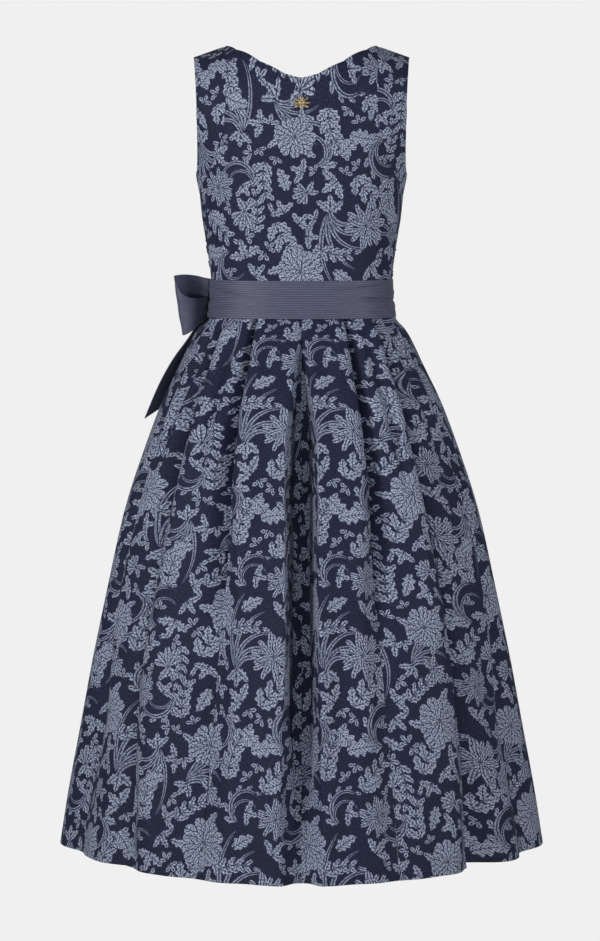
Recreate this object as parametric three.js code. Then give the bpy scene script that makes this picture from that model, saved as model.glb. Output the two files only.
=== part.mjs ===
// A dirndl: sleeveless bodice, pleated skirt, apron with its tie and bow, and a small metal charm.
// The cloth keeps the hollow form of the worn garment. Every cloth piece is a thin closed wall.
// Millimetres, +Z up, +X to the wearer's right, -Y to the wearer's back. The origin lies midway
// between the two shoulder straps, at the height of their neck points.
import * as THREE from "three";

// ---------------------------------------------------------------- driving dimensions
const DRESS_WALL = 2; // lined jacquard
const RIBBON_WALL = 1.5; // apron cloth, tie and bow
const SEAM_GAP = 0.3; // between two pieces sewn together
const HALF_GAP = SEAM_GAP / 2;

const YOKE_Z = -90; // above this height the bodice rounds forward over the shoulders
const NECK_POINT_X = 115; // where each strap meets the neck
const SHOULDER_SLOPE = 0.35; // fall of the strap's top for each mm outwards
const NECK_RISE = 0.5; // rise of the nape for each mm inwards
const TORSO_SQUARENESS = 2.3; // exponent of the torso's rounded plan
const SEAM_UPRIGHT_Z = -160; // above this height the strap seam runs straight up
const NECKLINE_SAG = 5.8; // how far the V of the back neckline is rounded out

const CUP_DEPTH = 9; // fullness that the bust darts give
const CUP_X = 68;
const CUP_Z = -214;
const CUP_SPREAD = 44;

const APRON_HALF_ANGLE = 62; // degrees of the front that the apron covers to each side
const APRON_HEM_Z = -1146;
const APRON_GATHERS = 10;

// Half width and half depths of the bodice, at each height
const TORSO = [
  { z: -90, width: 193, back: 98, front: 86 },
  { z: -110, width: 185, back: 102, front: 94 },
  { z: -140, width: 170, back: 106, front: 106 },
  { z: -170, width: 160, back: 107, front: 117 },
  { z: -196, width: 157, back: 106, front: 122 },
  { z: -223, width: 152, back: 104, front: 122 },
  { z: -259, width: 148, back: 101, front: 115 },
  { z: -295, width: 142, back: 98, front: 106 },
  { z: -331, width: 136.8, back: 95.5, front: 99 },
  { z: -351, width: 135, back: 94.5, front: 96.5 },
  { z: -380, width: 133.8, back: 94, front: 94 },
];

// Rows of the back: centre seam, strap seam and armhole edge, seen from behind
const SIDE = Infinity; // an edge that lies on the side seam
const BACK_ROWS = [
  { centreZ: -380, seamX: SIDE, seamZ: -380 },
  { centreZ: -351, seamX: SIDE, seamZ: -351 },
  { centreZ: -320, seamX: SIDE, seamZ: -320 },
  { centreZ: -288, seamX: SIDE, seamZ: -288 },
  { centreZ: -260, seamX: SIDE, seamZ: -257 },
  { centreZ: -238, seamX: SIDE, seamZ: -232, armX: SIDE, armZ: -196 },
  { centreZ: -221, seamX: 152, seamZ: -222, armX: 157, armZ: -188 },
  { centreZ: -200, seamX: 140, seamZ: -198, armX: 156.5, armZ: -176 },
  { centreZ: -178, seamX: 129, seamZ: -172, armX: 156.5, armZ: -156 },
  { centreZ: -148, seamX: 114, seamZ: -129, armX: 157, armZ: -122 },
  { centreZ: -122, seamX: 111, seamZ: -90, armX: 158, armZ: -90 },
  { centreZ: -103, seamX: 111, seamZ: -59, armX: 159, armZ: -65 },
  { centreZ: -86, seamX: 112, seamZ: -31, armX: 160, armZ: -42 },
  { centreZ: -72, seamX: 113, seamZ: -12, armX: 160.5, armZ: -26 },
  { centreZ: -62, seamX: 114, seamZ: -3, armX: 161, armZ: -18.5 },
  { centreZ: -55, seamX: 115, seamZ: 0, armX: 161, armZ: -16 },
];

// Rows of each front: from the centre front or neckline to the side seam or armhole edge
const FRONT_ROWS = [
  { innerX: 0, innerZ: -380, outerX: SIDE, outerZ: -380 },
  { innerX: 0, innerZ: -351, outerX: SIDE, outerZ: -351 },
  { innerX: 0, innerZ: -320, outerX: SIDE, outerZ: -320 },
  { innerX: 0, innerZ: -288, outerX: SIDE, outerZ: -288 },
  { innerX: 0, innerZ: -256, outerX: SIDE, outerZ: -257 },
  { innerX: 0, innerZ: -228, outerX: SIDE, outerZ: -232 },
  { innerX: 0, innerZ: -203, outerX: SIDE, outerZ: -212 },
  { innerX: 0, innerZ: -184, outerX: SIDE, outerZ: -196 },
  { innerX: 0, innerZ: -170, outerX: 153, outerZ: -183 },
  { innerX: 34, innerZ: -167, outerX: 149, outerZ: -170 },
  { innerX: 64, innerZ: -158, outerX: 146, outerZ: -154 },
  { innerX: 84, innerZ: -143, outerX: 144, outerZ: -134 },
  { innerX: 95, innerZ: -120, outerX: 144, outerZ: -112 },
  { innerX: 101, innerZ: -90, outerX: 146, outerZ: -90 },
  { innerX: 106, innerZ: -59, outerX: 150, outerZ: -65 },
  { innerX: 110, innerZ: -31, outerX: 155, outerZ: -42 },
  { innerX: 113, innerZ: -12, outerX: 158, outerZ: -26 },
  { innerX: 114, innerZ: -3, outerX: 160, outerZ: -18.5 },
  { innerX: 115, innerZ: 0, outerX: 161, outerZ: -16 },
];

// Half width and half depth of the skirt at each height, measured over the crests of its pleats,
// with the depth and half width of the grooves between them
const SKIRT = [
  { z: -380.3, width: 134, depth: 94.2, square: 2.3, groove: 3, spread: 6 },
  { z: -407.3, width: 139, depth: 99, square: 2.3, groove: 5, spread: 6 },
  { z: -421, width: 151, depth: 110, square: 2.26, groove: 8, spread: 8 },
  { z: -439, width: 162, depth: 122, square: 2.22, groove: 11, spread: 10 },
  { z: -475, width: 179, depth: 142, square: 2.18, groove: 15, spread: 13 },
  { z: -529, width: 205, depth: 170, square: 2.14, groove: 19, spread: 17 },
  { z: -600, width: 232, depth: 199, square: 2.1, groove: 22, spread: 22 },
  { z: -690, width: 262, depth: 230, square: 2.07, groove: 22, spread: 27 },
  { z: -790, width: 287, depth: 256, square: 2.05, groove: 21, spread: 32 },
  { z: -900, width: 312, depth: 281, square: 2.04, groove: 20, spread: 36 },
  { z: -1010, width: 333, depth: 302, square: 2.03, groove: 19, spread: 40 },
  { z: -1110, width: 352, depth: 321, square: 2.02, groove: 18, spread: 43 },
  { z: -1191, width: 365, depth: 334, square: 2.02, groove: 17, spread: 45 },
];

// The pleats' grooves: place around the body in degrees from the centre back, and how much deeper
// or shallower than the rest each one is at mid height and at the hem
const FOLDS = [
  { at: -180, deep: 1.0, hem: 0.9 },
  { at: -160, deep: 0.9, hem: 0.7 },
  { at: -139, deep: 1.0, hem: 1.1 },
  { at: -118, deep: 0.9, hem: 0.7 },
  { at: -96, deep: 1.0, hem: 1.0 },
  { at: -70, deep: 0.9, hem: 0.8 },
  { at: -48.5, deep: 1.1, hem: 1.1 },
  { at: -24.5, deep: 0.9, hem: 0.5 },
  { at: 0, deep: 1.3, hem: 1.1 },
  { at: 23, deep: 0.9, hem: 0.5 },
  { at: 45, deep: 1.1, hem: 1.2 },
  { at: 69, deep: 0.9, hem: 0.7 },
  { at: 96, deep: 1.0, hem: 1.0 },
  { at: 120, deep: 0.9, hem: 0.7 },
  { at: 140, deep: 1.1, hem: 1.0 },
  { at: 160, deep: 0.9, hem: 0.8 },
  { at: 180, deep: 1.0, hem: 0.9 },
];
const PLEAT_COLUMNS = [0, 0.1, 0.25, 0.5, 0.75, 0.9]; // columns from one groove towards the next

// How far the apron stands off the skirt's crests, and how deep its gathers are
const APRON = [
  { z: -407.3, stand: 2.4, gather: 0.4 },
  { z: -421, stand: 4, gather: 1.6 },
  { z: -439, stand: 5.2, gather: 3 },
  { z: -529, stand: 7.5, gather: 5 },
  { z: -690, stand: 9, gather: 6.5 },
  { z: -1191, stand: 10, gather: 7.5 },
];

// Outside of the band around the waist: the apron's waistband in front and its tie behind
const BAND = [
  { z: -351, width: 137, back: 96.8, front: 98.8 },
  { z: -379, width: 138.2, back: 98.2, front: 98.6 },
  { z: -407, width: 141.8, back: 101.8, front: 101.8 },
];

// The bow at the wearer's left side. Loops and tails run through stations, each with the top and
// the lower edge of the ribbon, or with its edges nearer the back and nearer the front.
const KNOT = { x: -146.7, y: 22, z: -379, thick: 13.6, wide: 26, tall: 36, corner: 5, bevel: 2 };
const LOOP_STATIONS = [
  { topX: -151.5, topY: 8.7, topZ: -354, lowX: -151.5, lowY: 8.7, lowZ: -394 },
  { topX: -162, topY: -2, topZ: -344, lowX: -159, lowY: -2, lowZ: -398 },
  { topX: -175, topY: -12, topZ: -341, lowX: -167, lowY: -10, lowZ: -406 },
  { topX: -186, topY: -24, topZ: -342, lowX: -174, lowY: -20, lowZ: -420 },
  { topX: -190, topY: -34, topZ: -344, lowX: -177, lowY: -30, lowZ: -430 },
  { topX: -187, topY: -42, topZ: -352, lowX: -175, lowY: -39, lowZ: -431 },
  { topX: -179, topY: -45, topZ: -367, lowX: -167, lowY: -42, lowZ: -428 },
  { topX: -168, topY: -40, topZ: -374, lowX: -159, lowY: -37, lowZ: -421 },
  { topX: -157, topY: -27, topZ: -376, lowX: -152, lowY: -25, lowZ: -410 },
  { topX: -149, topY: -9, topZ: -375, lowX: -148, lowY: -9, lowZ: -402 },
  { topX: -145, topY: 8.7, topZ: -372, lowX: -145, lowY: 8.7, lowZ: -394 },
];
const FRONT_LOOP_TURN = 24; // degrees that the front loop leans in towards the body
const TAIL_BACK_STATIONS = [
  { backX: -148, backY: 13, backZ: -397.4, frontX: -150, frontY: 30, frontZ: -397.4 },
  { backX: -168, backY: 6, backZ: -431, frontX: -166, frontY: 42, frontZ: -428 },
  { backX: -193, backY: 4, backZ: -466, frontX: -181, frontY: 52, frontZ: -458 },
  { backX: -213, backY: 4, backZ: -503, frontX: -194, frontY: 57, frontZ: -492 },
  { backX: -236, backY: 6, backZ: -557, frontX: -211, frontY: 60, frontZ: -532 },
];
const TAIL_FRONT_STATIONS = [
  { backX: -143.5, backY: 16, backZ: -397.4, frontX: -145, frontY: 33, frontZ: -397.4 },
  { backX: -160, backY: 47, backZ: -425, frontX: -148, frontY: 76, frontZ: -425 },
  { backX: -172, backY: 66, backZ: -458, frontX: -152, frontY: 106, frontZ: -460 },
  { backX: -190, backY: 78, backZ: -500, frontX: -165, frontY: 130, frontZ: -508 },
  { backX: -205, backY: 86, backZ: -540, frontX: -180, frontY: 144, frontZ: -568 },
];

// The charm sewn below the nape: an oval flower of eight petals
const CHARM = { z: -92, halfWide: 13.4, halfTall: 10, petals: 8, notch: 0.13, thick: 1.6, bevel: 0.5 };

// ---------------------------------------------------------------- materials
const jacquard = new THREE.MeshStandardMaterial({ color: 0x545d7a, roughness: 0.8, metalness: 0 });
const ribbonCloth = new THREE.MeshStandardMaterial({ color: 0x585a6e, roughness: 0.7, metalness: 0 });
const oldSilver = new THREE.MeshStandardMaterial({ color: 0xa39c8c, roughness: 0.4, metalness: 1 });

// ---------------------------------------------------------------- helpers
const mix = (a, b, t) => a + (b - a) * t;
const radians = THREE.MathUtils.degToRad;
const signedPower = (value, power) => Math.sign(value) * Math.abs(value) ** power;

// A smooth curve through one column of a table whose rows run downwards
function readTable(table, column, z) {
  const last = table.length - 1;
  if (z >= table[0].z) return table[0][column];
  if (z <= table[last].z) return table[last][column];
  let row = 0;
  while (z < table[row + 1].z) row += 1;
  const span = table[row + 1].z - table[row].z;
  const slope = (index) => {
    const before = table[Math.max(index - 1, 0)];
    const after = table[Math.min(index + 1, last)];
    return (after[column] - before[column]) / (after.z - before.z);
  };
  const t = (z - table[row].z) / span;
  const bend = t * (1 - t) * span * (slope(row) * (1 - t) - slope(row + 1) * t);
  return mix(table[row][column], table[row + 1][column], t * t * (3 - 2 * t)) + bend;
}

// A closed wall between two grids of points with the same rows and columns
function closedWall(outer, inner) {
  const rows = outer.length;
  const columns = outer[0].length;
  const out = (r, c) => r * columns + c;
  const back = (r, c) => (rows + r) * columns + c;
  let faces = [];
  const quad = (a, b, c, d) => faces.push([a, b, c], [a, c, d]);
  for (let r = 0; r < rows - 1; r += 1) {
    for (let c = 0; c < columns - 1; c += 1) {
      quad(out(r, c), out(r, c + 1), out(r + 1, c + 1), out(r + 1, c));
      quad(back(r, c), back(r + 1, c), back(r + 1, c + 1), back(r, c + 1));
    }
    quad(out(r, 0), out(r + 1, 0), back(r + 1, 0), back(r, 0));
    quad(out(r, columns - 1), back(r, columns - 1), back(r + 1, columns - 1), out(r + 1, columns - 1));
  }
  for (let c = 0; c < columns - 1; c += 1) {
    quad(out(0, c), back(0, c), back(0, c + 1), out(0, c + 1));
    quad(out(rows - 1, c), out(rows - 1, c + 1), back(rows - 1, c + 1), back(rows - 1, c));
  }
  const points = [...outer.flat(), ...inner.flat()];
  const volume = (sum, [a, b, c]) => sum + points[a].dot(points[b].clone().cross(points[c]));
  if (faces.reduce(volume, 0) < 0) faces = faces.map(([a, b, c]) => [a, c, b]);
  const geometry = new THREE.BufferGeometry().setFromPoints(points);
  geometry.setIndex(faces.flat());
  geometry.computeVertexNormals();
  return geometry;
}

const dirndl = new THREE.Group();

function addPiece(name, geometry, material) {
  const mesh = new THREE.Mesh(geometry, material);
  mesh.name = name;
  dirndl.add(mesh);
  return mesh;
}

// ---------------------------------------------------------------- bodice
function shoulderHeight(x) {
  const outwards = x - NECK_POINT_X;
  return outwards > 0 ? -outwards * SHOULDER_SLOPE : -outwards * NECK_RISE;
}

// A turn of 0 is the centre and a quarter turn is the side; face is -1 at the back and 1 in front
function turnAt(x, z) {
  const width = readTable(TORSO, "width", z);
  return Math.asin(Math.min(x / width, 1) ** (TORSO_SQUARENESS / 2));
}

function torsoPoint(face, turn, z) {
  const power = 2 / TORSO_SQUARENESS;
  const x = readTable(TORSO, "width", z) * Math.sin(turn) ** power;
  const depth = readTable(TORSO, face < 0 ? "back" : "front", z);
  const rise = THREE.MathUtils.clamp((z - YOKE_Z) / (shoulderHeight(x) - YOKE_Z), 0, 1);
  const flat = Math.max(Math.cos(turn), 0) ** power;
  const cup = Math.exp(-(((x - CUP_X) / CUP_SPREAD) ** 2) - ((z - CUP_Z) / CUP_SPREAD) ** 2);
  const y = depth * flat * Math.sqrt(1 - rise * rise) + (face > 0 ? CUP_DEPTH * cup * flat : 0);
  return new THREE.Vector3(x + HALF_GAP, face * (y + HALF_GAP), z);
}

function torsoInside(face, turn, z) {
  const here = torsoPoint(face, turn, z);
  const acrossStep = 0.01;
  const downStep = 0.5;
  const before = torsoPoint(face, Math.max(turn - acrossStep, 0), z);
  const after = torsoPoint(face, Math.min(turn + acrossStep, Math.PI / 2), z);
  const up = here.clone().sub(torsoPoint(face, turn, z - downStep));
  const normal = after.sub(before).cross(up).normalize();
  const inside = here.addScaledVector(normal, face * DRESS_WALL);
  inside.x = Math.max(inside.x, HALF_GAP);
  inside.y = face * Math.max(face * inside.y, HALF_GAP);
  return inside;
}

// Each row runs from its inner edge to its outer edge, given as seen from behind or from the front
function bodicePanel(face, side, rows, segments) {
  const gridOf = (pointAt) =>
    rows.map((row) => {
      const innerTurn = turnAt(row.innerX, row.innerZ);
      const outerTurn = turnAt(row.outerX, row.outerZ);
      return Array.from({ length: segments + 1 }, (_, column) => {
        const t = column / segments;
        const sag = (row.sag ?? 0) * Math.sin(Math.PI * t ** 0.6);
        const point = pointAt(face, mix(innerTurn, outerTurn, t), mix(row.innerZ, row.outerZ, t) - sag);
        point.x = side * (point.x + (row.shiftX ?? 0));
        point.z += row.shiftZ ?? 0;
        return point;
      });
    });
  return closedWall(gridOf(torsoPoint), gridOf(torsoInside));
}

const backPanelRows = BACK_ROWS.map((row) => ({
  innerX: 0,
  innerZ: row.centreZ,
  outerX: row.seamX,
  outerZ: row.seamZ,
  sag: NECKLINE_SAG * Math.max((row.centreZ + 150) / 95, 0) ** 2,
}));
const backSideRows = BACK_ROWS.filter((row) => row.armX).map((row) => ({
  innerX: row.seamX,
  innerZ: row.seamZ,
  outerX: row.armX,
  outerZ: row.armZ,
  shiftX: SEAM_GAP,
  shiftZ: row.seamZ < SEAM_UPRIGHT_Z ? SEAM_GAP : 0,
}));
for (const [sideName, side] of [["left", -1], ["right", 1]]) {
  addPiece(`back_panel_${sideName}`, bodicePanel(-1, side, backPanelRows, 8), jacquard);
  addPiece(`back_side_${sideName}`, bodicePanel(-1, side, backSideRows, 4), jacquard);
  addPiece(`front_panel_${sideName}`, bodicePanel(1, side, FRONT_ROWS, 8), jacquard);
}

// ---------------------------------------------------------------- skirt
const skirtTop = SKIRT[0].z;
const skirtHem = SKIRT[SKIRT.length - 1].z;

// A point over the crests of the skirt, in plan a rounded oval; angle is in degrees from the back
function crestPoint(angle, z) {
  const power = 2 / readTable(SKIRT, "square", z);
  const x = readTable(SKIRT, "width", z) * signedPower(Math.sin(radians(angle)), power);
  const y = readTable(SKIRT, "depth", z) * signedPower(-Math.cos(radians(angle)), power);
  return new THREE.Vector3(x, y, z);
}

function moveOut(point, distance) {
  const scale = 1 + distance / Math.hypot(point.x, point.y);
  return new THREE.Vector3(point.x * scale, point.y * scale, point.z);
}

function grooveDepth(angle, z, radius) {
  const down = (skirtTop - z) / (skirtTop - skirtHem);
  return FOLDS.slice(1).reduce((sum, fold) => {
    const turn = Math.abs(angle - fold.at) % 360;
    const arc = radians(Math.min(turn, 360 - turn)) * radius;
    const depth = readTable(SKIRT, "groove", z) * mix(fold.deep, fold.hem, down);
    return sum + depth * Math.exp(-((arc / readTable(SKIRT, "spread", z)) ** 2));
  }, 0);
}

function skirtPoint(angle, z) {
  const crest = crestPoint(angle, z);
  return moveOut(crest, -grooveDepth(angle, z, Math.hypot(crest.x, crest.y)));
}

function skirtPanel(firstFold, lastFold) {
  const angles = [];
  for (let fold = firstFold; fold < lastFold; fold += 1) {
    PLEAT_COLUMNS.forEach((t) => angles.push(mix(FOLDS[fold].at, FOLDS[fold + 1].at, t)));
  }
  angles.push(FOLDS[lastFold].at);
  const outer = SKIRT.map(({ z }) =>
    angles.map((angle, column) => {
      const point = skirtPoint(angle, z);
      const clear = THREE.MathUtils.radToDeg(HALF_GAP / Math.hypot(point.x, point.y)) * 1.1;
      if (column === 0) return skirtPoint(angle + clear, z);
      return column === angles.length - 1 ? skirtPoint(angle - clear, z) : point;
    }),
  );
  const inner = outer.map((row) => row.map((point) => moveOut(point, -DRESS_WALL)));
  return closedWall(outer, inner);
}

addPiece("skirt_front_left", skirtPanel(0, 4), jacquard);
addPiece("skirt_back_left", skirtPanel(4, 8), jacquard);
addPiece("skirt_back_right", skirtPanel(8, 12), jacquard);
addPiece("skirt_front_right", skirtPanel(12, 16), jacquard);

// ---------------------------------------------------------------- apron
function apronSkirt() {
  const columns = APRON_GATHERS * 4;
  const heights = SKIRT.map(({ z }) => z).filter((z) => z <= APRON[0].z && z > APRON_HEM_Z);
  heights.push(APRON_HEM_Z);
  const outer = heights.map((z) =>
    Array.from({ length: columns + 1 }, (_, column) => {
      const t = column / columns;
      const angle = 180 + mix(-APRON_HALF_ANGLE, APRON_HALF_ANGLE, t);
      const wave = 0.5 - 0.5 * Math.cos(2 * Math.PI * APRON_GATHERS * t);
      const stand = readTable(APRON, "stand", z) - readTable(APRON, "gather", z) * wave;
      return moveOut(crestPoint(angle, z), Math.max(stand, RIBBON_WALL + 2 * SEAM_GAP));
    }),
  );
  const inner = outer.map((row) => row.map((point) => moveOut(point, -RIBBON_WALL)));
  return closedWall(outer, inner);
}

// Half of the band around the waist: face is -1 for the tie behind and 1 for the waistband in front
function bandHalf(face, segments) {
  const power = 2 / TORSO_SQUARENESS;
  const gridAt = (inset) =>
    BAND.map((row) =>
      Array.from({ length: segments + 1 }, (_, column) => {
        const turn = mix(-Math.PI / 2, Math.PI / 2, column / segments);
        const x = (row.width - inset) * signedPower(Math.sin(turn), power);
        const depth = (face < 0 ? row.back : row.front) - inset;
        const y = face * (depth * Math.max(Math.cos(turn), 0) ** power + HALF_GAP);
        return new THREE.Vector3(x, y, row.z);
      }),
    );
  return closedWall(gridAt(0), gridAt(RIBBON_WALL));
}

addPiece("apron_skirt", apronSkirt(), ribbonCloth);
addPiece("apron_waistband", bandHalf(1, 28), ribbonCloth);
addPiece("apron_tie", bandHalf(-1, 28), ribbonCloth);

// ---------------------------------------------------------------- bow
// A strip of ribbon between two edges, each a smooth curve through the stations' points
function ribbonStrip(edgeA, edgeB, steps, across) {
  const curveA = new THREE.CatmullRomCurve3(edgeA, false, "centripetal");
  const curveB = new THREE.CatmullRomCurve3(edgeB, false, "centripetal");
  const middle = Array.from({ length: across + 1 }, (_, row) =>
    Array.from({ length: steps + 1 }, (_unused, step) =>
      curveA.getPoint(step / steps).lerp(curveB.getPoint(step / steps), row / across),
    ),
  );
  const shifted = (distance) =>
    middle.map((line, row) =>
      line.map((point, step) => {
        const alongStrip = line[Math.min(step + 1, steps)].clone().sub(line[Math.max(step - 1, 0)]);
        const acrossStrip = middle[across][step].clone().sub(middle[0][step]);
        const normal = alongStrip.cross(acrossStrip).normalize();
        if (step === 0 || step === steps) normal.setComponent(endAxis(edgeA), 0).normalize();
        return middle[row][step].clone().addScaledVector(normal, distance);
      }),
    );
  return closedWall(shifted(RIBBON_WALL / 2), shifted(-RIBBON_WALL / 2));
}

// The axis along which a strip leaves the knot: loops run along Y and tails along Z
function endAxis(edge) {
  return Math.abs(edge[0].y - KNOT.y) > KNOT.wide / 2 ? 1 : 2;
}

function loopEdge(which, front) {
  return LOOP_STATIONS.map((station) => {
    const point = new THREE.Vector3(station[`${which}X`], station[`${which}Y`], station[`${which}Z`]);
    if (!front) return point;
    point.y = 2 * KNOT.y - point.y;
    const mouth = KNOT.y + KNOT.wide / 2 + SEAM_GAP;
    const lean = Math.sin(radians(FRONT_LOOP_TURN)) * (point.y - mouth);
    point.x += Math.max(lean, 0);
    return point;
  });
}

const tailEdge = (stations, which) =>
  stations.map((row) => new THREE.Vector3(row[`${which}X`], row[`${which}Y`], row[`${which}Z`]));

function knotBlock() {
  const halfX = KNOT.thick / 2 - KNOT.bevel;
  const halfZ = KNOT.tall / 2 - KNOT.bevel;
  const round = KNOT.corner - KNOT.bevel;
  const outline = new THREE.Shape();
  outline.absarc(halfX - round, halfZ - round, round, 0, Math.PI / 2);
  outline.absarc(-halfX + round, halfZ - round, round, Math.PI / 2, Math.PI);
  outline.absarc(-halfX + round, -halfZ + round, round, Math.PI, Math.PI * 1.5);
  outline.absarc(halfX - round, -halfZ + round, round, Math.PI * 1.5, Math.PI * 2);
  return new THREE.ExtrudeGeometry(outline, {
    depth: KNOT.wide - 2 * KNOT.bevel,
    bevelThickness: KNOT.bevel,
    bevelSize: KNOT.bevel,
    bevelSegments: 2,
    curveSegments: 3,
  });
}

const knot = addPiece("bow_knot", knotBlock(), ribbonCloth);
knot.rotation.x = Math.PI / 2;
knot.position.set(KNOT.x, KNOT.y + KNOT.wide / 2 - KNOT.bevel, KNOT.z);
addPiece("bow_loop_back", ribbonStrip(loopEdge("top", false), loopEdge("low", false), 24, 3), ribbonCloth);
addPiece("bow_loop_front", ribbonStrip(loopEdge("top", true), loopEdge("low", true), 24, 3), ribbonCloth);
for (const [name, stations] of [["back", TAIL_BACK_STATIONS], ["front", TAIL_FRONT_STATIONS]]) {
  const strip = ribbonStrip(tailEdge(stations, "back"), tailEdge(stations, "front"), 10, 3);
  addPiece(`bow_tail_${name}`, strip, ribbonCloth);
}

// ---------------------------------------------------------------- charm
function charmFlower() {
  const steps = CHARM.petals * 4;
  const outline = Array.from({ length: steps }, (_, step) => {
    const angle = (2 * Math.PI * step) / steps;
    const reach = 1 - CHARM.notch * (0.5 - 0.5 * Math.cos(CHARM.petals * angle));
    const across = (CHARM.halfWide - CHARM.bevel) * reach * Math.cos(angle);
    return new THREE.Vector2(across, (CHARM.halfTall - CHARM.bevel) * reach * Math.sin(angle));
  });
  return new THREE.ExtrudeGeometry(new THREE.Shape(outline), {
    depth: CHARM.thick - 2 * CHARM.bevel,
    bevelThickness: CHARM.bevel,
    bevelSize: CHARM.bevel,
    bevelSegments: 1,
  });
}

const above = torsoPoint(-1, 0, CHARM.z + CHARM.halfTall);
const below = torsoPoint(-1, 0, CHARM.z - CHARM.halfTall);
const charm = addPiece("neck_charm", charmFlower(), oldSilver);
charm.rotation.x = Math.PI / 2 - Math.atan2(above.y - below.y, above.z - below.z);
charm.position.set(0, (above.y + below.y) / 2 - CHARM.bevel - SEAM_GAP, CHARM.z);

export default dirndl;
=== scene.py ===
# %% [markdown]
# # A dirndl, seen from behind
# The dress is a fitted bodice over a full pleated skirt, in a navy jacquard with pale blue flowers.
# A slate grey apron band goes round the waist and ends in a bow at the wearer's left. The packed
# frame gives the construction; this script dresses every piece of it in its finished cloth.

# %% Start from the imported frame
import math

import bpy
import numpy as np
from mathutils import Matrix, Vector
from mathutils.geometry import delaunay_2d_cdt
from mathutils.kdtree import KDTree


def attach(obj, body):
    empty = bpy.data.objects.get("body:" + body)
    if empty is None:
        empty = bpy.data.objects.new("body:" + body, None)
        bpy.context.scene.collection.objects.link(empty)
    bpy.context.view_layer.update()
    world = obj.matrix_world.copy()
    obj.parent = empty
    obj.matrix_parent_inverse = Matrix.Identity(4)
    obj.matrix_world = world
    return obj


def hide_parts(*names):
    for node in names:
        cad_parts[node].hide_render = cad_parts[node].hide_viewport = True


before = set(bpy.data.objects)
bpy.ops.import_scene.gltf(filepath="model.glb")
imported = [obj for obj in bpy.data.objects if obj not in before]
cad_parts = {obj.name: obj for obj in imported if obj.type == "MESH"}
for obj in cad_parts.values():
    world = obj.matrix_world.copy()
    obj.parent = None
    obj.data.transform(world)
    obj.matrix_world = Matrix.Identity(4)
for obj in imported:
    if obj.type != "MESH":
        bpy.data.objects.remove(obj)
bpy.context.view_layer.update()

MM = 0.001

# %% [markdown]
# ## Camera, backdrop and light
# A long lens a little over four metres away shows the dress almost without perspective. The
# backdrop is a pale sweep that glows evenly, as a studio cyclorama does, so no edge or shadow shows.
# Two soft boxes beside the camera light the folds from either side, the left one more strongly, and a
# weak one near the floor lifts the shadows under the folds.

# %% Camera
CAMERA_DISTANCE = 4.3
CAMERA_HEIGHT = -0.379
CAMERA_SIDE = -0.00225
CAMERA_TILT = 3.4  # degrees down
LENS = 73.15  # millimetres, for a 24 mm high sensor

camera_data = bpy.data.cameras.new("camera")
camera_data.sensor_fit = "VERTICAL"
camera_data.sensor_height = 24
camera_data.lens = LENS
camera_data.clip_end = 50
camera = bpy.data.objects.new("camera", camera_data)
camera.location = (CAMERA_SIDE, -CAMERA_DISTANCE, CAMERA_HEIGHT)
camera.rotation_euler = (math.radians(90 - CAMERA_TILT), 0, 0)
bpy.context.collection.objects.link(camera)
bpy.context.scene.camera = camera
bpy.context.scene.view_settings.view_transform = "Standard"
print("camera:", CAMERA_DISTANCE, "m away, lens", LENS, "mm")


# %% Colours and material nodes
def colour(hex_code):
    """An sRGB hex value as linear red, green, blue and alpha."""
    channels = [int(hex_code[i : i + 2], 16) / 255 for i in (1, 3, 5)]
    linear = [c / 12.92 if c <= 0.04045 else ((c + 0.055) / 1.055) ** 2.4 for c in channels]
    return (*linear, 1.0)


def add_node(tree, kind, inputs=None, **settings):
    """Adds a node; an input is given a value, or is linked where the value is a socket."""
    node = tree.nodes.new(kind)
    for name, value in settings.items():
        setattr(node, name, value)
    for key, value in (inputs or {}).items():
        if isinstance(value, bpy.types.NodeSocket):
            tree.links.new(value, node.inputs[key])
        else:
            node.inputs[key].default_value = value
    return node


def new_material(name):
    material = bpy.data.materials.new(name)
    material.use_nodes = True
    material.node_tree.nodes.clear()
    return material, material.node_tree


# %% Backdrop and soft boxes
STAGE_FLOOR = -1.75
STAGE_RADIUS = 9.0
STAGE_COVE = 1.2
STAGE_TOP = 9.0
BOX_SPREAD = 110  # degrees; a grid in front of each box keeps its light together
BOX_AIM = (0, -0.1, 0.45)
SOFT_BOXES = (
    # name, place, aim, size, watts
    ("box_left", (-3.3, -2.9, 0.6), BOX_AIM, (1.2, 2.2), 43),
    ("box_right", (3.5, -2.7, 0.5), BOX_AIM, (1.2, 2.2), 28.5),
    ("floor_bounce", (-0.1, -3.6, -1.6), (0, 0, -0.3), (1.6, 0.6), 11),
)
SKY_STRENGTH = 0.15


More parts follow.
